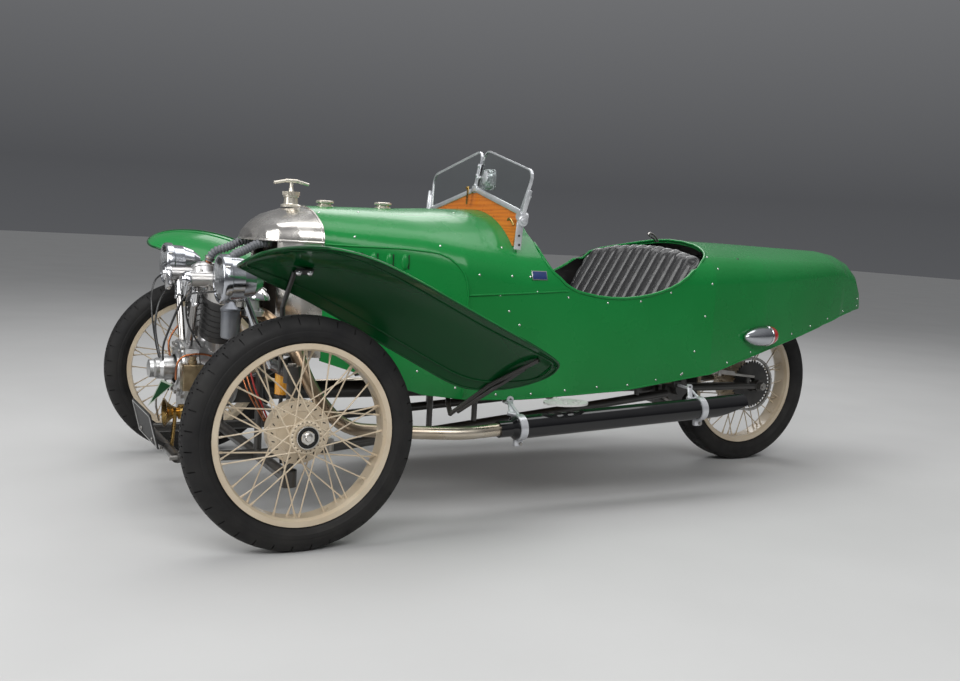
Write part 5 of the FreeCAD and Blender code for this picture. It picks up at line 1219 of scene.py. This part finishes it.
# %% Spark plugs and their leads to the magneto
plugs, white = bmesh.new(), bmesh.new()
leads = []
for side in (-1, 1):
    root, way = up_cylinder(side, 0.310, -1.392, side * 0.030)
    out = Vector((-0.9, side * 0.35, 0.25)).normalized()
    bar(plugs, root, root + out * 0.014, 0.0095, sides=6)
    turned(white, ((0.013, 0.0064), (0.034, 0.0050), (0.036, 0)), root, out, steps=16)
    tip = root + out * 0.036
    bar(plugs, tip, tip + out * 0.007, 0.0036, sides=10)
    leads.append([tuple(tip + out * 0.005), (-1.470, side * 0.150, 0.655), (-1.500, side * 0.120, 0.560),
                  (-1.500, 0.022 + side * 0.030, 0.480), (-1.490, 0.022 + side * 0.018, 0.437)])
piece(plugs, "plug_bodies", "car_body", "steel")
piece(white, "plug_insulators", "car_body", "pale_line")
wire("plug_leads", leads, 0.0035, "car_body", "black_plastic")
print("plug leads:", len(leads))

# %% Control cables
CABLES = [
    [(-1.400, -0.385, 0.700), (-1.440, -0.330, 0.690), (-1.470, -0.240, 0.680), (-1.460, -0.150, 0.640),
     (-1.440, -0.100, 0.560), (-1.400, -0.120, 0.500)],
    [(-1.400, 0.385, 0.700), (-1.450, 0.330, 0.700), (-1.490, 0.240, 0.650), (-1.490, 0.200, 0.540),
     (-1.470, 0.180, 0.420), (-1.440, 0.160, 0.320)],
    [(-1.290, -0.060, 0.640), (-1.260, -0.100, 0.700), (-1.200, -0.120, 0.740), (-1.120, -0.120, 0.750)],
]
wire("control_cables", CABLES, 0.0030, "car_body", "black_plastic")
print("control cables:", len(CABLES))

# %% [markdown]
# ## Coolant hoses
# Each hose is ribbed rubber pushed over a copper stub and held by a wire clip.  Points read evenly along one
# smooth curve carry the ribs: one point in three is thinner, so the round bar swells and narrows as a bellows
# does.

# %% Places at an even pitch along a smooth curve
def evenly(points, pitch):
    """Places a pitch apart along the smooth curve that the points control."""
    path = bpy.data.curves.new("way", "CURVE")
    path.dimensions = "3D"
    path.resolution_u = 24
    spline = path.splines.new("NURBS")
    spline.points.add(len(points) - 1)
    for number, place in enumerate(points):
        spline.points[number].co = (*place, 1)
    spline.order_u = 3
    spline.use_endpoint_u = True
    holder = bpy.data.objects.new("way", path)
    mesh = bpy.data.meshes.new_from_object(holder)
    line = [vert.co.copy() for vert in mesh.vertices]
    bpy.data.objects.remove(holder)
    places, left = [line[0]], pitch
    for start, end in zip(line, line[1:]):
        gone, span = 0.0, (end - start).length
        while span - gone >= left:
            gone += left
            left = pitch
            places.append(start.lerp(end, gone / span))
        left -= span - gone
    return places


print("a helper for even places is ready")

# %% Hoses, stubs and clips
RIB_PITCH = 0.0036
HOSE_WAY = ((-1.330, 0.128, 0.742), (-1.322, 0.126, 0.790), (-1.268, 0.105, 0.808), (-1.222, 0.100, 0.836),
            (-1.176, 0.100, 0.836))
hose_runs, stub_runs, clips = [], [], bmesh.new()
for side in (-1, 1):
    line = evenly([(x, y * side, z) for x, y, z in HOSE_WAY], RIB_PITCH)
    hose_runs.append(line[5:-2])
    stub_runs.append([line[0], line[3], line[6], line[9]])
    for spot, following in ((line[8], line[9]), (line[-6], line[-5])):
        turned(clips, ((-0.0028, 0.0160), (-0.0034, 0.0172), (0.0034, 0.0172), (0.0028, 0.0160)), spot,
               following - spot, steps=24)
longest = max(len(run) for run in hose_runs)
swell = [0.72 if number % 3 == 2 else 1.0 for number in range(longest)]
hoses = wire("ribbed_hoses", hose_runs, 0.0150, "car_body", "rubber", straight=True, thick=swell)
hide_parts("coolant_hoses")
wire("hose_stubs", stub_runs, 0.0118, "car_body", "copper")
piece(clips, "hose_clips", "car_body", "steel")
print("hose ribs:", longest // 3)

# %% [markdown]
# ## Lamps
# A headlamp reads as a lamp because of its rolled rim, its domed lens, and the bulb and bright reflector
# behind.  The reflector is a turned dish in front of the CAD bowl, and the lens a thin dome in front of that.

# %% Headlamps
rims, dishes, lenses, bulbs, bolts = bmesh.new(), bmesh.new(), bmesh.new(), bmesh.new(), bmesh.new()
for y in (-0.390, 0.390):
    face = Vector((-1.408, y, 0.735))
    ahead_way = Vector((-1, 0, 0))
    turned(rims, ((-0.014, 0.0683), (-0.012, 0.0712), (-0.004, 0.0716), (0.004, 0.0716), (0.010, 0.0700),
                  (0.013, 0.0665), (0.012, 0.0632), (0.007, 0.0618), (0.003, 0.0618)), face, ahead_way,
           steps=56)
    turned(dishes, ((0.0058, 0.0618), (0.0030, 0.0500), (0.0014, 0.0350), (0.0006, 0.0180), (0.0004, 0)),
           face, ahead_way, steps=40)
    turned(lenses, ((0.0080, 0.0622), (0.0120, 0.0560), (0.0165, 0.0420), (0.0190, 0.0230), (0.0198, 0)),
           face, ahead_way, steps=40)
    turned(bulbs, ((0.0004, 0.0080), (0.0030, 0.0082), (0.0048, 0.0060), (0.0080, 0.0085), (0.0120, 0.0060),
                   (0.0135, 0)), face, ahead_way, steps=20)
    for number in range(3):
        bearing = math.tau * number / 3 + 0.5
        spot = face + Vector((-0.004, 0.0725 * math.cos(bearing), 0.0725 * math.sin(bearing)))
        bar(bolts, spot + Vector((0.008, 0, 0)), spot - Vector((0.005, 0, 0)), 0.0032, sides=8)
    collar = Vector((-1.353, y, 0.705))
    turned(bolts, ((-0.050, 0.0118), (-0.050, 0.0150), (-0.034, 0.0150), (-0.034, 0.0118)), collar, (0, 0, 1),
           steps=20)
piece(rims, "headlamp_rims", "car_body", "lamp_shell")
piece(dishes, "headlamp_reflectors", "car_body", "chrome")
piece(lenses, "headlamp_lenses", "car_body", "lens_glass")
piece(bulbs, "headlamp_bulbs", "car_body", "lens_glass")
piece(bolts, "headlamp_fittings", "car_body", "nickel")
print("headlamp fittings made")

# %% Tail lamps: blunt bright teardrops with a red lens behind
shells, ring, red = bmesh.new(), bmesh.new(), bmesh.new()
for side in (-1, 1):
    along = Vector((0.300, -0.094 * side, 0)).normalized()
    root = Vector((0.5946, 0.3765 * side, 0.566))
    turned(shells, ((-0.016, 0), (-0.013, 0.0070), (-0.004, 0.0150), (0.014, 0.0240), (0.036, 0.0318),
                    (0.062, 0.0370), (0.090, 0.0393), (0.118, 0.0393), (0.138, 0.0385), (0.140, 0.0350)),
           root, along, steps=44)
    turned(ring, ((0.133, 0.0382), (0.135, 0.0402), (0.141, 0.0402), (0.143, 0.0365)), root, along, steps=36)
    turned(red, ((0.140, 0.0372), (0.158, 0.0380), (0.176, 0.0350), (0.190, 0.0275), (0.201, 0.0140),
                 (0.205, 0)), root, along, steps=32)
tail_lamps = piece(shells, "tail_lamp_shells", "car_body", "lamp_shell", sharp=60)
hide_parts("tail_lamps")
piece(ring, "tail_lamp_bands", "car_body", "chrome")
piece(red, "tail_lamp_lenses", "car_body", "red_lens")
print("tail lamps point", [round(share, 2) for share in along])

# %% [markdown]
# ## Windscreen and fittings
# Small bright pieces finish the screen: a rail under the panes, a hinge between them with its clamp, the
# round knobs that lock its lean, and a small mirror beside the hinge.

# %% Places on the leaning screen
LEAN = math.radians(9.5)
SCREEN_UP = Vector((math.sin(LEAN), 0, math.cos(LEAN)))
SCREEN_AHEAD = Vector((-math.cos(LEAN), 0, math.sin(LEAN)))


def on_screen(y, rise, ahead_by=0.0):
    """A place on the screen's plane, a distance up it and in front of it."""
    return Vector((-0.416, y, 0.960)) + SCREEN_UP * rise + SCREEN_AHEAD * ahead_by


def slab_between(bm, start, end, wide, deep, soft=0.0015):
    """A softened flat bar from one place to another, its width lying in the screen's plane."""
    way = (end - start).normalized()
    across_way = way.cross(SCREEN_AHEAD).normalized()
    stand = Matrix((way, across_way, way.cross(across_way))).transposed().to_4x4()
    slab(bm, ((end - start).length, wide, deep), Matrix.Translation((start + end) / 2) @ stand, soft)


print("the screen leans", round(math.degrees(LEAN), 1), "degrees")

# %% Rails, stanchions, hinge and knobs
rails, knobs, holes = bmesh.new(), bmesh.new(), bmesh.new()
for side in (-1, 1):
    outside = Vector((0, side, 0))
    slab_between(rails, on_screen(0.004 * side, 0.0965, 0.001), on_screen(0.350 * side, 0.0185, 0.001), 0.018,
                 0.018, 0.003)
    # The stanchion: a foot plate on the body's side and a clamp that holds the pane's edge
    foot_turn = Matrix.Rotation(math.radians(4), 4, "Y")
    slab(rails, (0.026, 0.005, 0.092), at(-0.4345, 0.3795 * side, 0.902) @ foot_turn, soft=0.002)
    clamp_turn = Matrix.Rotation(LEAN, 4, "Y") @ Matrix.Rotation(math.radians(-9) * side, 4, "X")
    slab(rails, (0.017, 0.010, 0.084), Matrix.Translation(on_screen(0.377 * side, 0.052, 0.004)) @ clamp_turn,
         soft=0.003)
    hub = Vector((-0.4235, 0.381 * side, 0.951))
    turned(knobs, ((-0.010, 0.0165), (0.002, 0.0180), (0.005, 0.0180), (0.007, 0.0150), (0.0075, 0.0100),
                   (0.0110, 0.0090), (0.0120, 0.0060), (0.0120, 0)), hub, outside, steps=28)
    # Two holes in each foot plate: dark discs painted as the shade inside them.
    for low in (0.872, 0.902):
        spot = Vector((-0.4345 - (low - 0.902) * 0.07, 0.3822 * side, low))
        turned(holes, ((0, 0.0042), (0.0006, 0.0040), (0.0007, 0)), spot, outside, steps=14)
slab_between(rails, on_screen(-0.006, 0.086, 0.006), on_screen(-0.006, 0.190, 0.006), 0.010, 0.009, 0.002)
slab_between(rails, on_screen(0.007, 0.086, 0.006), on_screen(0.007, 0.190, 0.006), 0.009, 0.009, 0.002)
slab_between(rails, on_screen(-0.018, 0.098, 0.009), on_screen(0.018, 0.098, 0.009), 0.022, 0.012, 0.004)
for low in (0.112, 0.148, 0.182):
    turned(knobs, ((0, 0.0050), (0.004, 0.0048), (0.006, 0.0026), (0.0064, 0)), on_screen(0.001, low, 0.010),
           SCREEN_AHEAD, steps=12)
piece(rails, "screen_fittings", "car_body", "satin")
piece(knobs, "screen_knobs", "car_body", "satin")
piece(holes, "screen_plate_holes", "car_body", "painted_hole_shade")
print("rails and knobs made")

# %% Brass latch and catches
latches = bmesh.new()
slab_between(latches, Vector((-0.4290, 0.014, 1.066)), Vector((-0.4330, 0.012, 1.002)), 0.011, 0.004, 0.0015)
bar(latches, (-0.4325, 0.0135, 1.060), (-0.4375, 0.0135, 1.061), 0.0045, sides=12)
piece(latches, "screen_latch", "car_body", "brass")
wire("screen_catches",
     [[(-0.4360, side * 0.306, 0.952), (-0.4420, side * 0.318, 0.959), (-0.4420, side * 0.338, 0.953),
       (-0.4400, side * 0.352, 0.936)] for side in (-1, 1)], 0.0042, "car_body", "brass")
print("latch and catches made")

# %% Mirror: a dished back and a flat face with round corners, on a ball joint
def rounded_plate(bm, wide, tall, corner, deep, place):
    """A flat plate in the YZ plane with round corners, from a rounded outline pushed through its depth."""
    ring = []
    for turn in range(4):
        middle_y = (wide / 2 - corner) * (1 if turn in (0, 3) else -1)
        middle_z = (tall / 2 - corner) * (1 if turn in (0, 1) else -1)
        for step in range(7):
            bearing = math.pi / 2 * (turn + step / 6)
            ring.append(place @ Vector((0, middle_y + corner * math.cos(bearing),
                                        middle_z + corner * math.sin(bearing))))
    face = bm.faces.new([bm.verts.new(place_on) for place_on in ring])
    thickened(bm, face, place.to_3x3() @ Vector((deep, 0, 0)))
    bmesh.ops.recalc_face_normals(bm, faces=bm.faces)


mirror, silvered = bmesh.new(), bmesh.new()
mirror_stand = Matrix.Translation((-0.380, -0.054, 1.092)) @ Matrix.Rotation(math.radians(24), 4, "Z")
dished = bmesh.ops.create_uvsphere(mirror, u_segments=24, v_segments=14, radius=1)["verts"]
for vert in dished:
    width, rise = vert.co.y, vert.co.z
    square = 1 + 0.22 * min(abs(width), abs(rise))
    vert.co = mirror_stand @ Vector((min(vert.co.x, 0) * 0.020, width * square * 0.028,
                                     rise * square * 0.035))
rounded_plate(mirror, 0.060, 0.074, 0.0150, 0.006, mirror_stand @ Matrix.Translation((-0.001, 0, 0)))
rounded_plate(silvered, 0.051, 0.065, 0.0120, 0.0016, mirror_stand @ Matrix.Translation((0.0044, 0, 0)))
bar(mirror, (-0.386, -0.036, 1.098), (-0.394, -0.008, 1.100), 0.0055)
bar(mirror, (-0.392, -0.008, 1.100), (-0.399, 0, 1.100), 0.009)
piece(mirror, "mirror", "car_body", "satin")
piece(silvered, "mirror_face", "car_body", "chrome")
print("mirror at", [round(v, 3) for v in mirror_stand.translation])

# %% [markdown]
# ## Nose
# The radiator's dome ends in a rolled bead, and below it the honeycomb core shows between plated cheeks.  The
# filler neck is knurled under its bar, and the two tank fillers on the cowl are stepped caps.

# %% Bead round the foot of the dome
DOME = skin_of("radiator_shell")
DOME_FOOT = Vector((-1.052, 0, 0.8465))
bead = []
for step in range(37):
    bearing = math.pi / 2 + math.pi * step / 36
    way = Vector((math.cos(bearing), math.sin(bearing), 0))
    start = DOME_FOOT + Vector((way.x * 0.3, way.y * 0.4, 0))
    spot, _, _, _ = DOME.ray_cast(start, (DOME_FOOT - start).normalized())
    if spot is not None:
        bead.append((spot.x, spot.y, 0.8455))
wire("dome_bead", [bead], 0.0042, "car_body", "nickel", straight=True)
DOME_REAR = Vector((-1.056, 0, 0.80))
rear_bead = []
for step in range(25):
    bearing = math.pi * step / 24
    start = Vector((-1.056, 0.5 * math.cos(bearing), 0.80 + 0.5 * math.sin(bearing)))
    spot, _, _, _ = DOME.ray_cast(start, (DOME_REAR - start).normalized())
    if spot is not None:
        rear_bead.append(tuple(spot))
wire("dome_rear_bead", [rear_bead], 0.0030, "car_body", "nickel", straight=True)
print("bead points:", len(bead), len(rear_bead))

# %% Filler neck with a knurled ring
neck = bmesh.new()
NECK_FOOT, KNURLS = (-1.092, 0, 0.959), 36
turned(neck, ((-0.006, 0.0330), (0.000, 0.0335), (0.003, 0.0300), (0.004, 0.0250), (0.006, 0.0245)),
       NECK_FOOT, (0, 0, 1), steps=36)
turned(neck, ((0.026, 0.0225), (0.027, 0.0262), (0.031, 0.0268), (0.035, 0.0262), (0.036, 0.0240)), NECK_FOOT,
       (0, 0, 1), steps=36)
for number in range(KNURLS):
    bearing = math.tau * number / KNURLS
    spot = Vector((-1.092 + 0.0272 * math.cos(bearing), 0.0272 * math.sin(bearing), 0.992))
    bar(neck, spot, spot + Vector((0, 0, 0.012)), 0.0016, sides=5)
turned(neck, ((0.044, 0.0100), (0.047, 0.0110), (0.051, 0.0100), (0.060, 0.0068), (0.078, 0.0060)),
       (-1.092, 0, 0.954), (0, 0, 1), steps=20)
piece(neck, "filler_neck", "car_body", "warm_nickel")
print("knurls:", KNURLS)

# %% Tank fillers: stepped caps with milled edges, seated on the cowl
caps = bmesh.new()
for x in (-0.974, -0.764):
    foot, _ = on_top(x, 0.0)
    turned(caps, ((-0.003, 0.0285), (0.0015, 0.0285), (0.003, 0.0262), (0.0045, 0.0215), (0.0095, 0.0215),
                  (0.0105, 0.0272), (0.0125, 0.0285), (0.0175, 0.0285), (0.0195, 0.0268), (0.0205, 0.0120),
                  (0.0212, 0)), (foot.x, 0, foot.z), (0, 0, 1), steps=40)
    for number in range(20):
        bearing = math.tau * number / 20
        spot = Vector((foot.x + 0.0284 * math.cos(bearing), 0.0284 * math.sin(bearing), foot.z + 0.012))
        bar(caps, spot, spot + Vector((0, 0, 0.006)), 0.0014, sides=5)
tank_caps = piece(caps, "tank_fillers", "car_body", "warm_nickel", sharp=30)
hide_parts("tank_caps")
print("last filler stands at", [round(v, 3) for v in foot])

# %% [markdown]
# The badge, the pennant and the number plate are plain: enamel or paint inside a raised border, with nothing
# on it.

# %% Side badge
badge, badge_face = bmesh.new(), bmesh.new()
spot, normal = on_side(-0.365, 0.775)
along_way = Vector((1, -normal.x, 0)).normalized()
badge_stand = Matrix((along_way, normal.cross(along_way), normal)).transposed().to_4x4()
slab(badge, (0.060, 0.032, 0.0030), Matrix.Translation(spot + normal * 0.0006) @ badge_stand, soft=0.001)
slab(badge_face, (0.054, 0.026, 0.0030), Matrix.Translation(spot + normal * 0.0014) @ badge_stand,
     soft=0.0008)
piece(badge, "side_badge_rim", "car_body", "chrome")
piece(badge_face, "side_badge", "car_body", "badge_enamel")
print("badge at", [round(v, 3) for v in spot])

# %% Pennant: a plain enamelled triangle with a pale edge, held up by a bent stalk
PENNANT_CORNERS = ((-1.508, -0.060, 0.394), (-1.472, -0.060, 0.376), (-1.548, -0.060, 0.309))
PENNANT_MIDDLE = Vector((-1.5093, -0.060, 0.3597))
pennant, pennant_rim = bmesh.new(), bmesh.new()
for made, grown, thick in ((pennant_rim, 1.0, 0.0022), (pennant, 0.80, 0.0036)):
    flat = [PENNANT_MIDDLE + (Vector(place) - PENNANT_MIDDLE) * grown for place in PENNANT_CORNERS]
    made.faces.new([made.verts.new(place - Vector((0, thick / 2, 0))) for place in flat])
    bmesh.ops.solidify(made, geom=made.faces[:], thickness=thick)
piece(pennant_rim, "pennant_rim", "car_body", "pale_line")
piece(pennant, "pennant", "car_body", "dark_green")
wire("pennant_stalk", [[(-1.520, -0.057, 0.345), (-1.524, -0.057, 0.318), (-1.518, -0.058, 0.290),
                        (-1.512, -0.060, 0.262)]], 0.003, "car_body", "steel")
print("pennant corners:", len(PENNANT_CORNERS))

# %% Number plate's border and the bolts of the front cross tube
plate_tilt = Matrix.Rotation(math.radians(-14), 4, "Y")
plate_middle = Matrix.Translation((-0.0012, 0.150, 0.056))
plate_spot = Matrix.Translation((-1.531, -0.150, 0.190)) @ plate_tilt @ plate_middle
border = bmesh.new()
for y, z, wide, high in ((0, 0.050, 0.292, 0.004), (0, -0.050, 0.292, 0.004), (-0.144, 0, 0.004, 0.104),
                         (0.144, 0, 0.004, 0.104)):
    slab(border, (0.004, wide, high), plate_spot @ Matrix.Translation((0, y, z)), soft=0.001)
piece(border, "plate_border", "car_body", "alloy")
plate_bolts = bmesh.new()
for y in (-0.09, 0.09):
    foot = plate_spot @ Vector((0, y, -0.034))
    turned(plate_bolts, ((0, 0.007), (0.003, 0.0066), (0.005, 0.0040), (0.0054, 0)), foot,
           plate_tilt.to_3x3() @ Vector((-1, 0, 0)), steps=14)
for y in (-0.230, -0.075, 0.075, 0.230):
    bar(plate_bolts, (-1.490, y, 0.180), (-1.512, y, 0.180), 0.0075, sides=6)
piece(plate_bolts, "front_bolts", "car_body", "steel")
print("plate tilt:", round(math.degrees(plate_tilt.to_euler().y)), "degrees")

# %% Deck handle: a small bent loop behind the seats
wire("deck_handle",
     [[(0.430, 0, 0.905), (0.422, 0, 0.919), (0.404, 0, 0.934), (0.384, 0, 0.938), (0.379, 0, 0.931),
       (0.391, 0, 0.925), (0.411, 0, 0.915), (0.421, 0, 0.903)]], 0.0038, "car_body", "nickel")
print("deck handle made")

# %% Catches on the bonnet's sides
catches = bmesh.new()
CATCH_XS = (-0.995, -0.700)
for side in (-1, 1):
    for x in CATCH_XS:
        spot, normal = on_side(x, 0.700, side)
        turned(catches, ((0, 0.010), (0.003, 0.010), (0.005, 0.0085), (0.012, 0.0070), (0.014, 0.0050),
                         (0.014, 0)), spot, normal, steps=20)
piece(catches, "bonnet_catches", "car_body", "nickel")
print("catches a side:", len(CATCH_XS))

# %% [markdown]
# ## Running gear
# Bolts, leaf-spring clips, brake rods and chain links give the chassis its scale.  The chain is one link
# modelled simply and repeated along the loop that the CAD belt follows.

# %% Even places along the chain's loop
PINION, BIG = (Vector((0.500, 0, 0.330)), 0.0610), (Vector((0.915, 0, 0.330)), 0.1090)
span = BIG[0].x - PINION[0].x
tilt = math.acos((PINION[1] - BIG[1]) / span)
loop = []
for step in range(41):
    bearing = tilt - 2 * tilt * step / 40
    loop.append(BIG[0] + Vector((math.cos(bearing), 0, math.sin(bearing))) * BIG[1])
for step in range(25):
    bearing = -tilt - (math.tau - 2 * tilt) * step / 24
    loop.append(PINION[0] + Vector((math.cos(bearing), 0, math.sin(bearing))) * PINION[1])
loop.append(loop[0])
length = sum((b - a).length for a, b in zip(loop, loop[1:]))
CHAIN_PITCH = 0.0127
links = round(length / CHAIN_PITCH / 2) * 2
pitch = length / links
joints, gone, index = [], 0.0, 0
for number in range(links):
    target = number * pitch
    while gone + (loop[index + 1] - loop[index]).length < target:
        gone += (loop[index + 1] - loop[index]).length
        index += 1
    share = (target - gone) / (loop[index + 1] - loop[index]).length
    joints.append(loop[index].lerp(loop[index + 1], share))
print("chain length:", round(length, 3))

# %% The drive chain: rollers and plates, turned along the loop
chain = bmesh.new()
CHAIN_Y = -0.074
for number, spot in enumerate(joints):
    following = joints[(number + 1) % links]
    middle, way = (spot + following) / 2, (following - spot).normalized()
    stand = Matrix((way, Vector((0, 1, 0)), way.cross(Vector((0, 1, 0))))).transposed().to_4x4()
    bar(chain, spot + Vector((0, CHAIN_Y - 0.0055, 0)), spot + Vector((0, CHAIN_Y + 0.0055, 0)), 0.0042,
        sides=8)
    outer = 0.0052 if number % 2 else 0.0036
    for off in (-outer, outer):
        bmesh.ops.create_cube(chain, size=1,
                              matrix=Matrix.Translation(middle + Vector((0, CHAIN_Y + off, 0))) @ stand
                              @ Matrix.Diagonal((pitch * 1.5, 0.0014, 0.0095, 1)))
drive_chain = piece(chain, "chain_links", "car_body", "steel")
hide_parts("drive_chain")
print("chain links:", links)

# %% Bolts and clips on the chassis, springs and clamps
SPRING_ROOT_X, SPRING_ROOT_Z, SPRING_LEAN = 0.438, 0.4123, math.radians(6)
CLAMPS = (0.064, 0.805)


def on_silencer(away, drop):
    """x and z of a place along the silencer's own axis, a drop below it."""
    return -0.537 + away * 0.9986 + 0.013, 0.281 + away * 0.0521 - drop


bolts = bmesh.new()
for side in (-1, 1):
    for x, z in ((0.470, 0.414), (0.492, 0.414)):
        for y in (0.102, 0.130):
            bar(bolts, (x, y * side, z + 0.020), (x, y * side, z + 0.032), 0.007, sides=6)
    for share in (0.25, 0.62):
        x = SPRING_ROOT_X + share * 0.40
        z = SPRING_ROOT_Z - math.tan(SPRING_LEAN) * (x - SPRING_ROOT_X)
        for y in (0.095, 0.137):
            slab(bolts, (0.016, 0.004, 0.036), at(x, y * side, z + 0.010), soft=0.001)
    bar(bolts, (0.915, 0.130 * side, 0.330), (0.915, 0.150 * side, 0.330), 0.017, sides=6)
    bar(bolts, (0.915, 0.148 * side, 0.330), (0.915, 0.156 * side, 0.330), 0.008, sides=14)
    # Pinch bolts under the silencer's clamps
    for away in CLAMPS:
        x, z = on_silencer(away, 0.050)
        bar(bolts, (x + 0.004, 0.486 * side, z - 0.002), (x + 0.004, 0.516 * side, z - 0.002), 0.0065,
            sides=6)
    for z in (0.172, 0.488):
        bar(bolts, (-1.245, 0.550 * side, z - 0.006), (-1.245, 0.550 * side, z + 0.022), 0.0125, sides=6)
    bar(bolts, (-1.115, 0.530 * side, 0.272), (-1.115, 0.530 * side, 0.284), 0.011, sides=6)
piece(bolts, "chassis_bolts", "car_body", "steel")
print("clamps a side:", len(CLAMPS))

# %% A bracket and two dome nuts hold each front stay under its wing
STAY_SLOPE = math.radians(33.7)
brackets, domes = bmesh.new(), bmesh.new()
for side in (-1, 1):
    under = Vector((0, 0.555 * side, -0.832))
    place = Vector((-1.240, 0.606 * side, 0.774))
    slope = Matrix.Rotation(STAY_SLOPE * side, 4, "X")
    slab(brackets, (0.052, 0.026, 0.006), Matrix.Translation(place) @ slope, soft=0.002)
    for aside in (-0.015, 0.017):
        turned(domes, ((0.002, 0.0090), (0.006, 0.0085), (0.010, 0.0050), (0.011, 0)),
               place + Vector((aside, 0, 0)), under, steps=18)
piece(brackets, "stay_brackets", "car_body", "black_paint")
piece(domes, "stay_nuts", "car_body", "chrome")
print("stay brackets slope", round(math.degrees(STAY_SLOPE), 1), "degrees")

# %% Flat hangers with an eye, and the lugs of the silencers' clamps
hangers, eyes = bmesh.new(), bmesh.new()
HANGERS = (((-0.478, 0.480, 0.326), (-0.445, 0.405, 0.366)), ((0.250, 0.488, 0.358), (0.276, 0.446, 0.400)))
for side in (-1, 1):
    for foot, head in HANGERS:
        foot, head = Vector((foot[0], foot[1] * side, foot[2])), Vector((head[0], head[1] * side, head[2]))
        way = (head - foot).normalized()
        along_car = (Vector((1, 0, 0)) - way * way.x).normalized()
        stand = Matrix((along_car, way.cross(along_car), way)).transposed().to_4x4()
        slab(hangers, (0.019, 0.005, (head - foot).length), Matrix.Translation((foot + head) / 2) @ stand,
             soft=0.002)
        slab(hangers, (0.028, 0.012, 0.012), Matrix.Translation(foot) @ stand, soft=0.002)
        # The eye's hole is a dark disc painted as the shade inside it.
        turned(eyes, ((0, 0.0050), (0.0036, 0.0050), (0.0037, 0)), head - way * 0.012, (0, side, 0), steps=14)
        turned(hangers, ((-0.0025, 0), (-0.0025, 0.0125), (0.0025, 0.0125), (0.0025, 0)), head - way * 0.012,
               (0, side, 0), steps=20)
    for away in CLAMPS:
        x, z = on_silencer(away, 0.049)
        slab(hangers, (0.034, 0.018, 0.026), at(x, 0.500 * side, z), soft=0.006)
piece(hangers, "silencer_hangers", "car_body", "satin")
piece(eyes, "hanger_eyes", "car_body", "painted_hole_shade")
print("hangers a side:", len(HANGERS))

# %% [markdown]
# A bead runs along the body's lower edge, where the sheet would be turned round a wire.  Its places are found
# on the skin itself, so that it follows the curve of the sides.  Dark boards close the body behind the seat.

# %% A bead along the body's lower edge
LOWER = ((-0.590, 0.330), (-0.500, 0.340), (-0.373, 0.342), (-0.240, 0.350), (-0.111, 0.358), (0.018, 0.364),
         (0.145, 0.378), (0.268, 0.398), (0.400, 0.418), (0.500, 0.434), (0.640, 0.468), (0.780, 0.498),
         (0.930, 0.530), (1.080, 0.557), (1.230, 0.583), (1.380, 0.610), (1.500, 0.632))
sill = []
for (x, z), (far_x, far_z) in zip(LOWER, LOWER[1:]):
    for share in (0, 0.25, 0.5, 0.75):
        spot = at_rim(on_side, (x + (far_x - x) * share, z + (far_z - z) * share), (0, 1))
        if spot:
            sill.append(spot)
for run, label in ((sill, "left"), (flipped(sill), "right")):
    wire("sill_bead_" + label, [run], 0.0030, "car_body", "green_paint", straight=True)
print("sill points:", len(sill))

# %% Boards behind the seat
SEAT_REAR, BOARD_Z, BULKHEAD_X = 0.335, 0.500, 0.555
shelf = bmesh.new()
for low, high in (((SEAT_REAR, BOARD_Z), (BULKHEAD_X, BOARD_Z)),
                  ((BULKHEAD_X, BOARD_Z), (BULKHEAD_X + 0.02, 0.860))):
    ends = []
    for x, z in (low, high):
        edge, _ = on_side(x, min(z, 0.84))
        ends.append([shelf.verts.new((x, edge.y * 0.94 * side, z)) for side in (-1, 1)])
    shelf.faces.new((ends[0][0], ends[0][1], ends[1][1], ends[1][0]))
bmesh.ops.remove_doubles(shelf, verts=shelf.verts, dist=1e-5)
bmesh.ops.subdivide_edges(shelf, edges=shelf.edges[:], cuts=5, use_grid_fill=True)
shelf_piece = piece(shelf, "rear_boards", "car_body", "black_paint")
board_thick = shelf_piece.modifiers.new("thick", "SOLIDIFY")
board_thick.thickness = 0.006
print("boards reach back to", BULKHEAD_X)

# %% Brake rods
rods = [[(-0.62, 0.150 * side, 0.365), (0.10, 0.128 * side, 0.350), (0.80, 0.098 * side, 0.342)]
        for side in (-1, 1)]
wire("brake_rods", rods, 0.0035, "car_body", "steel")
print("brake rods:", len(rods))
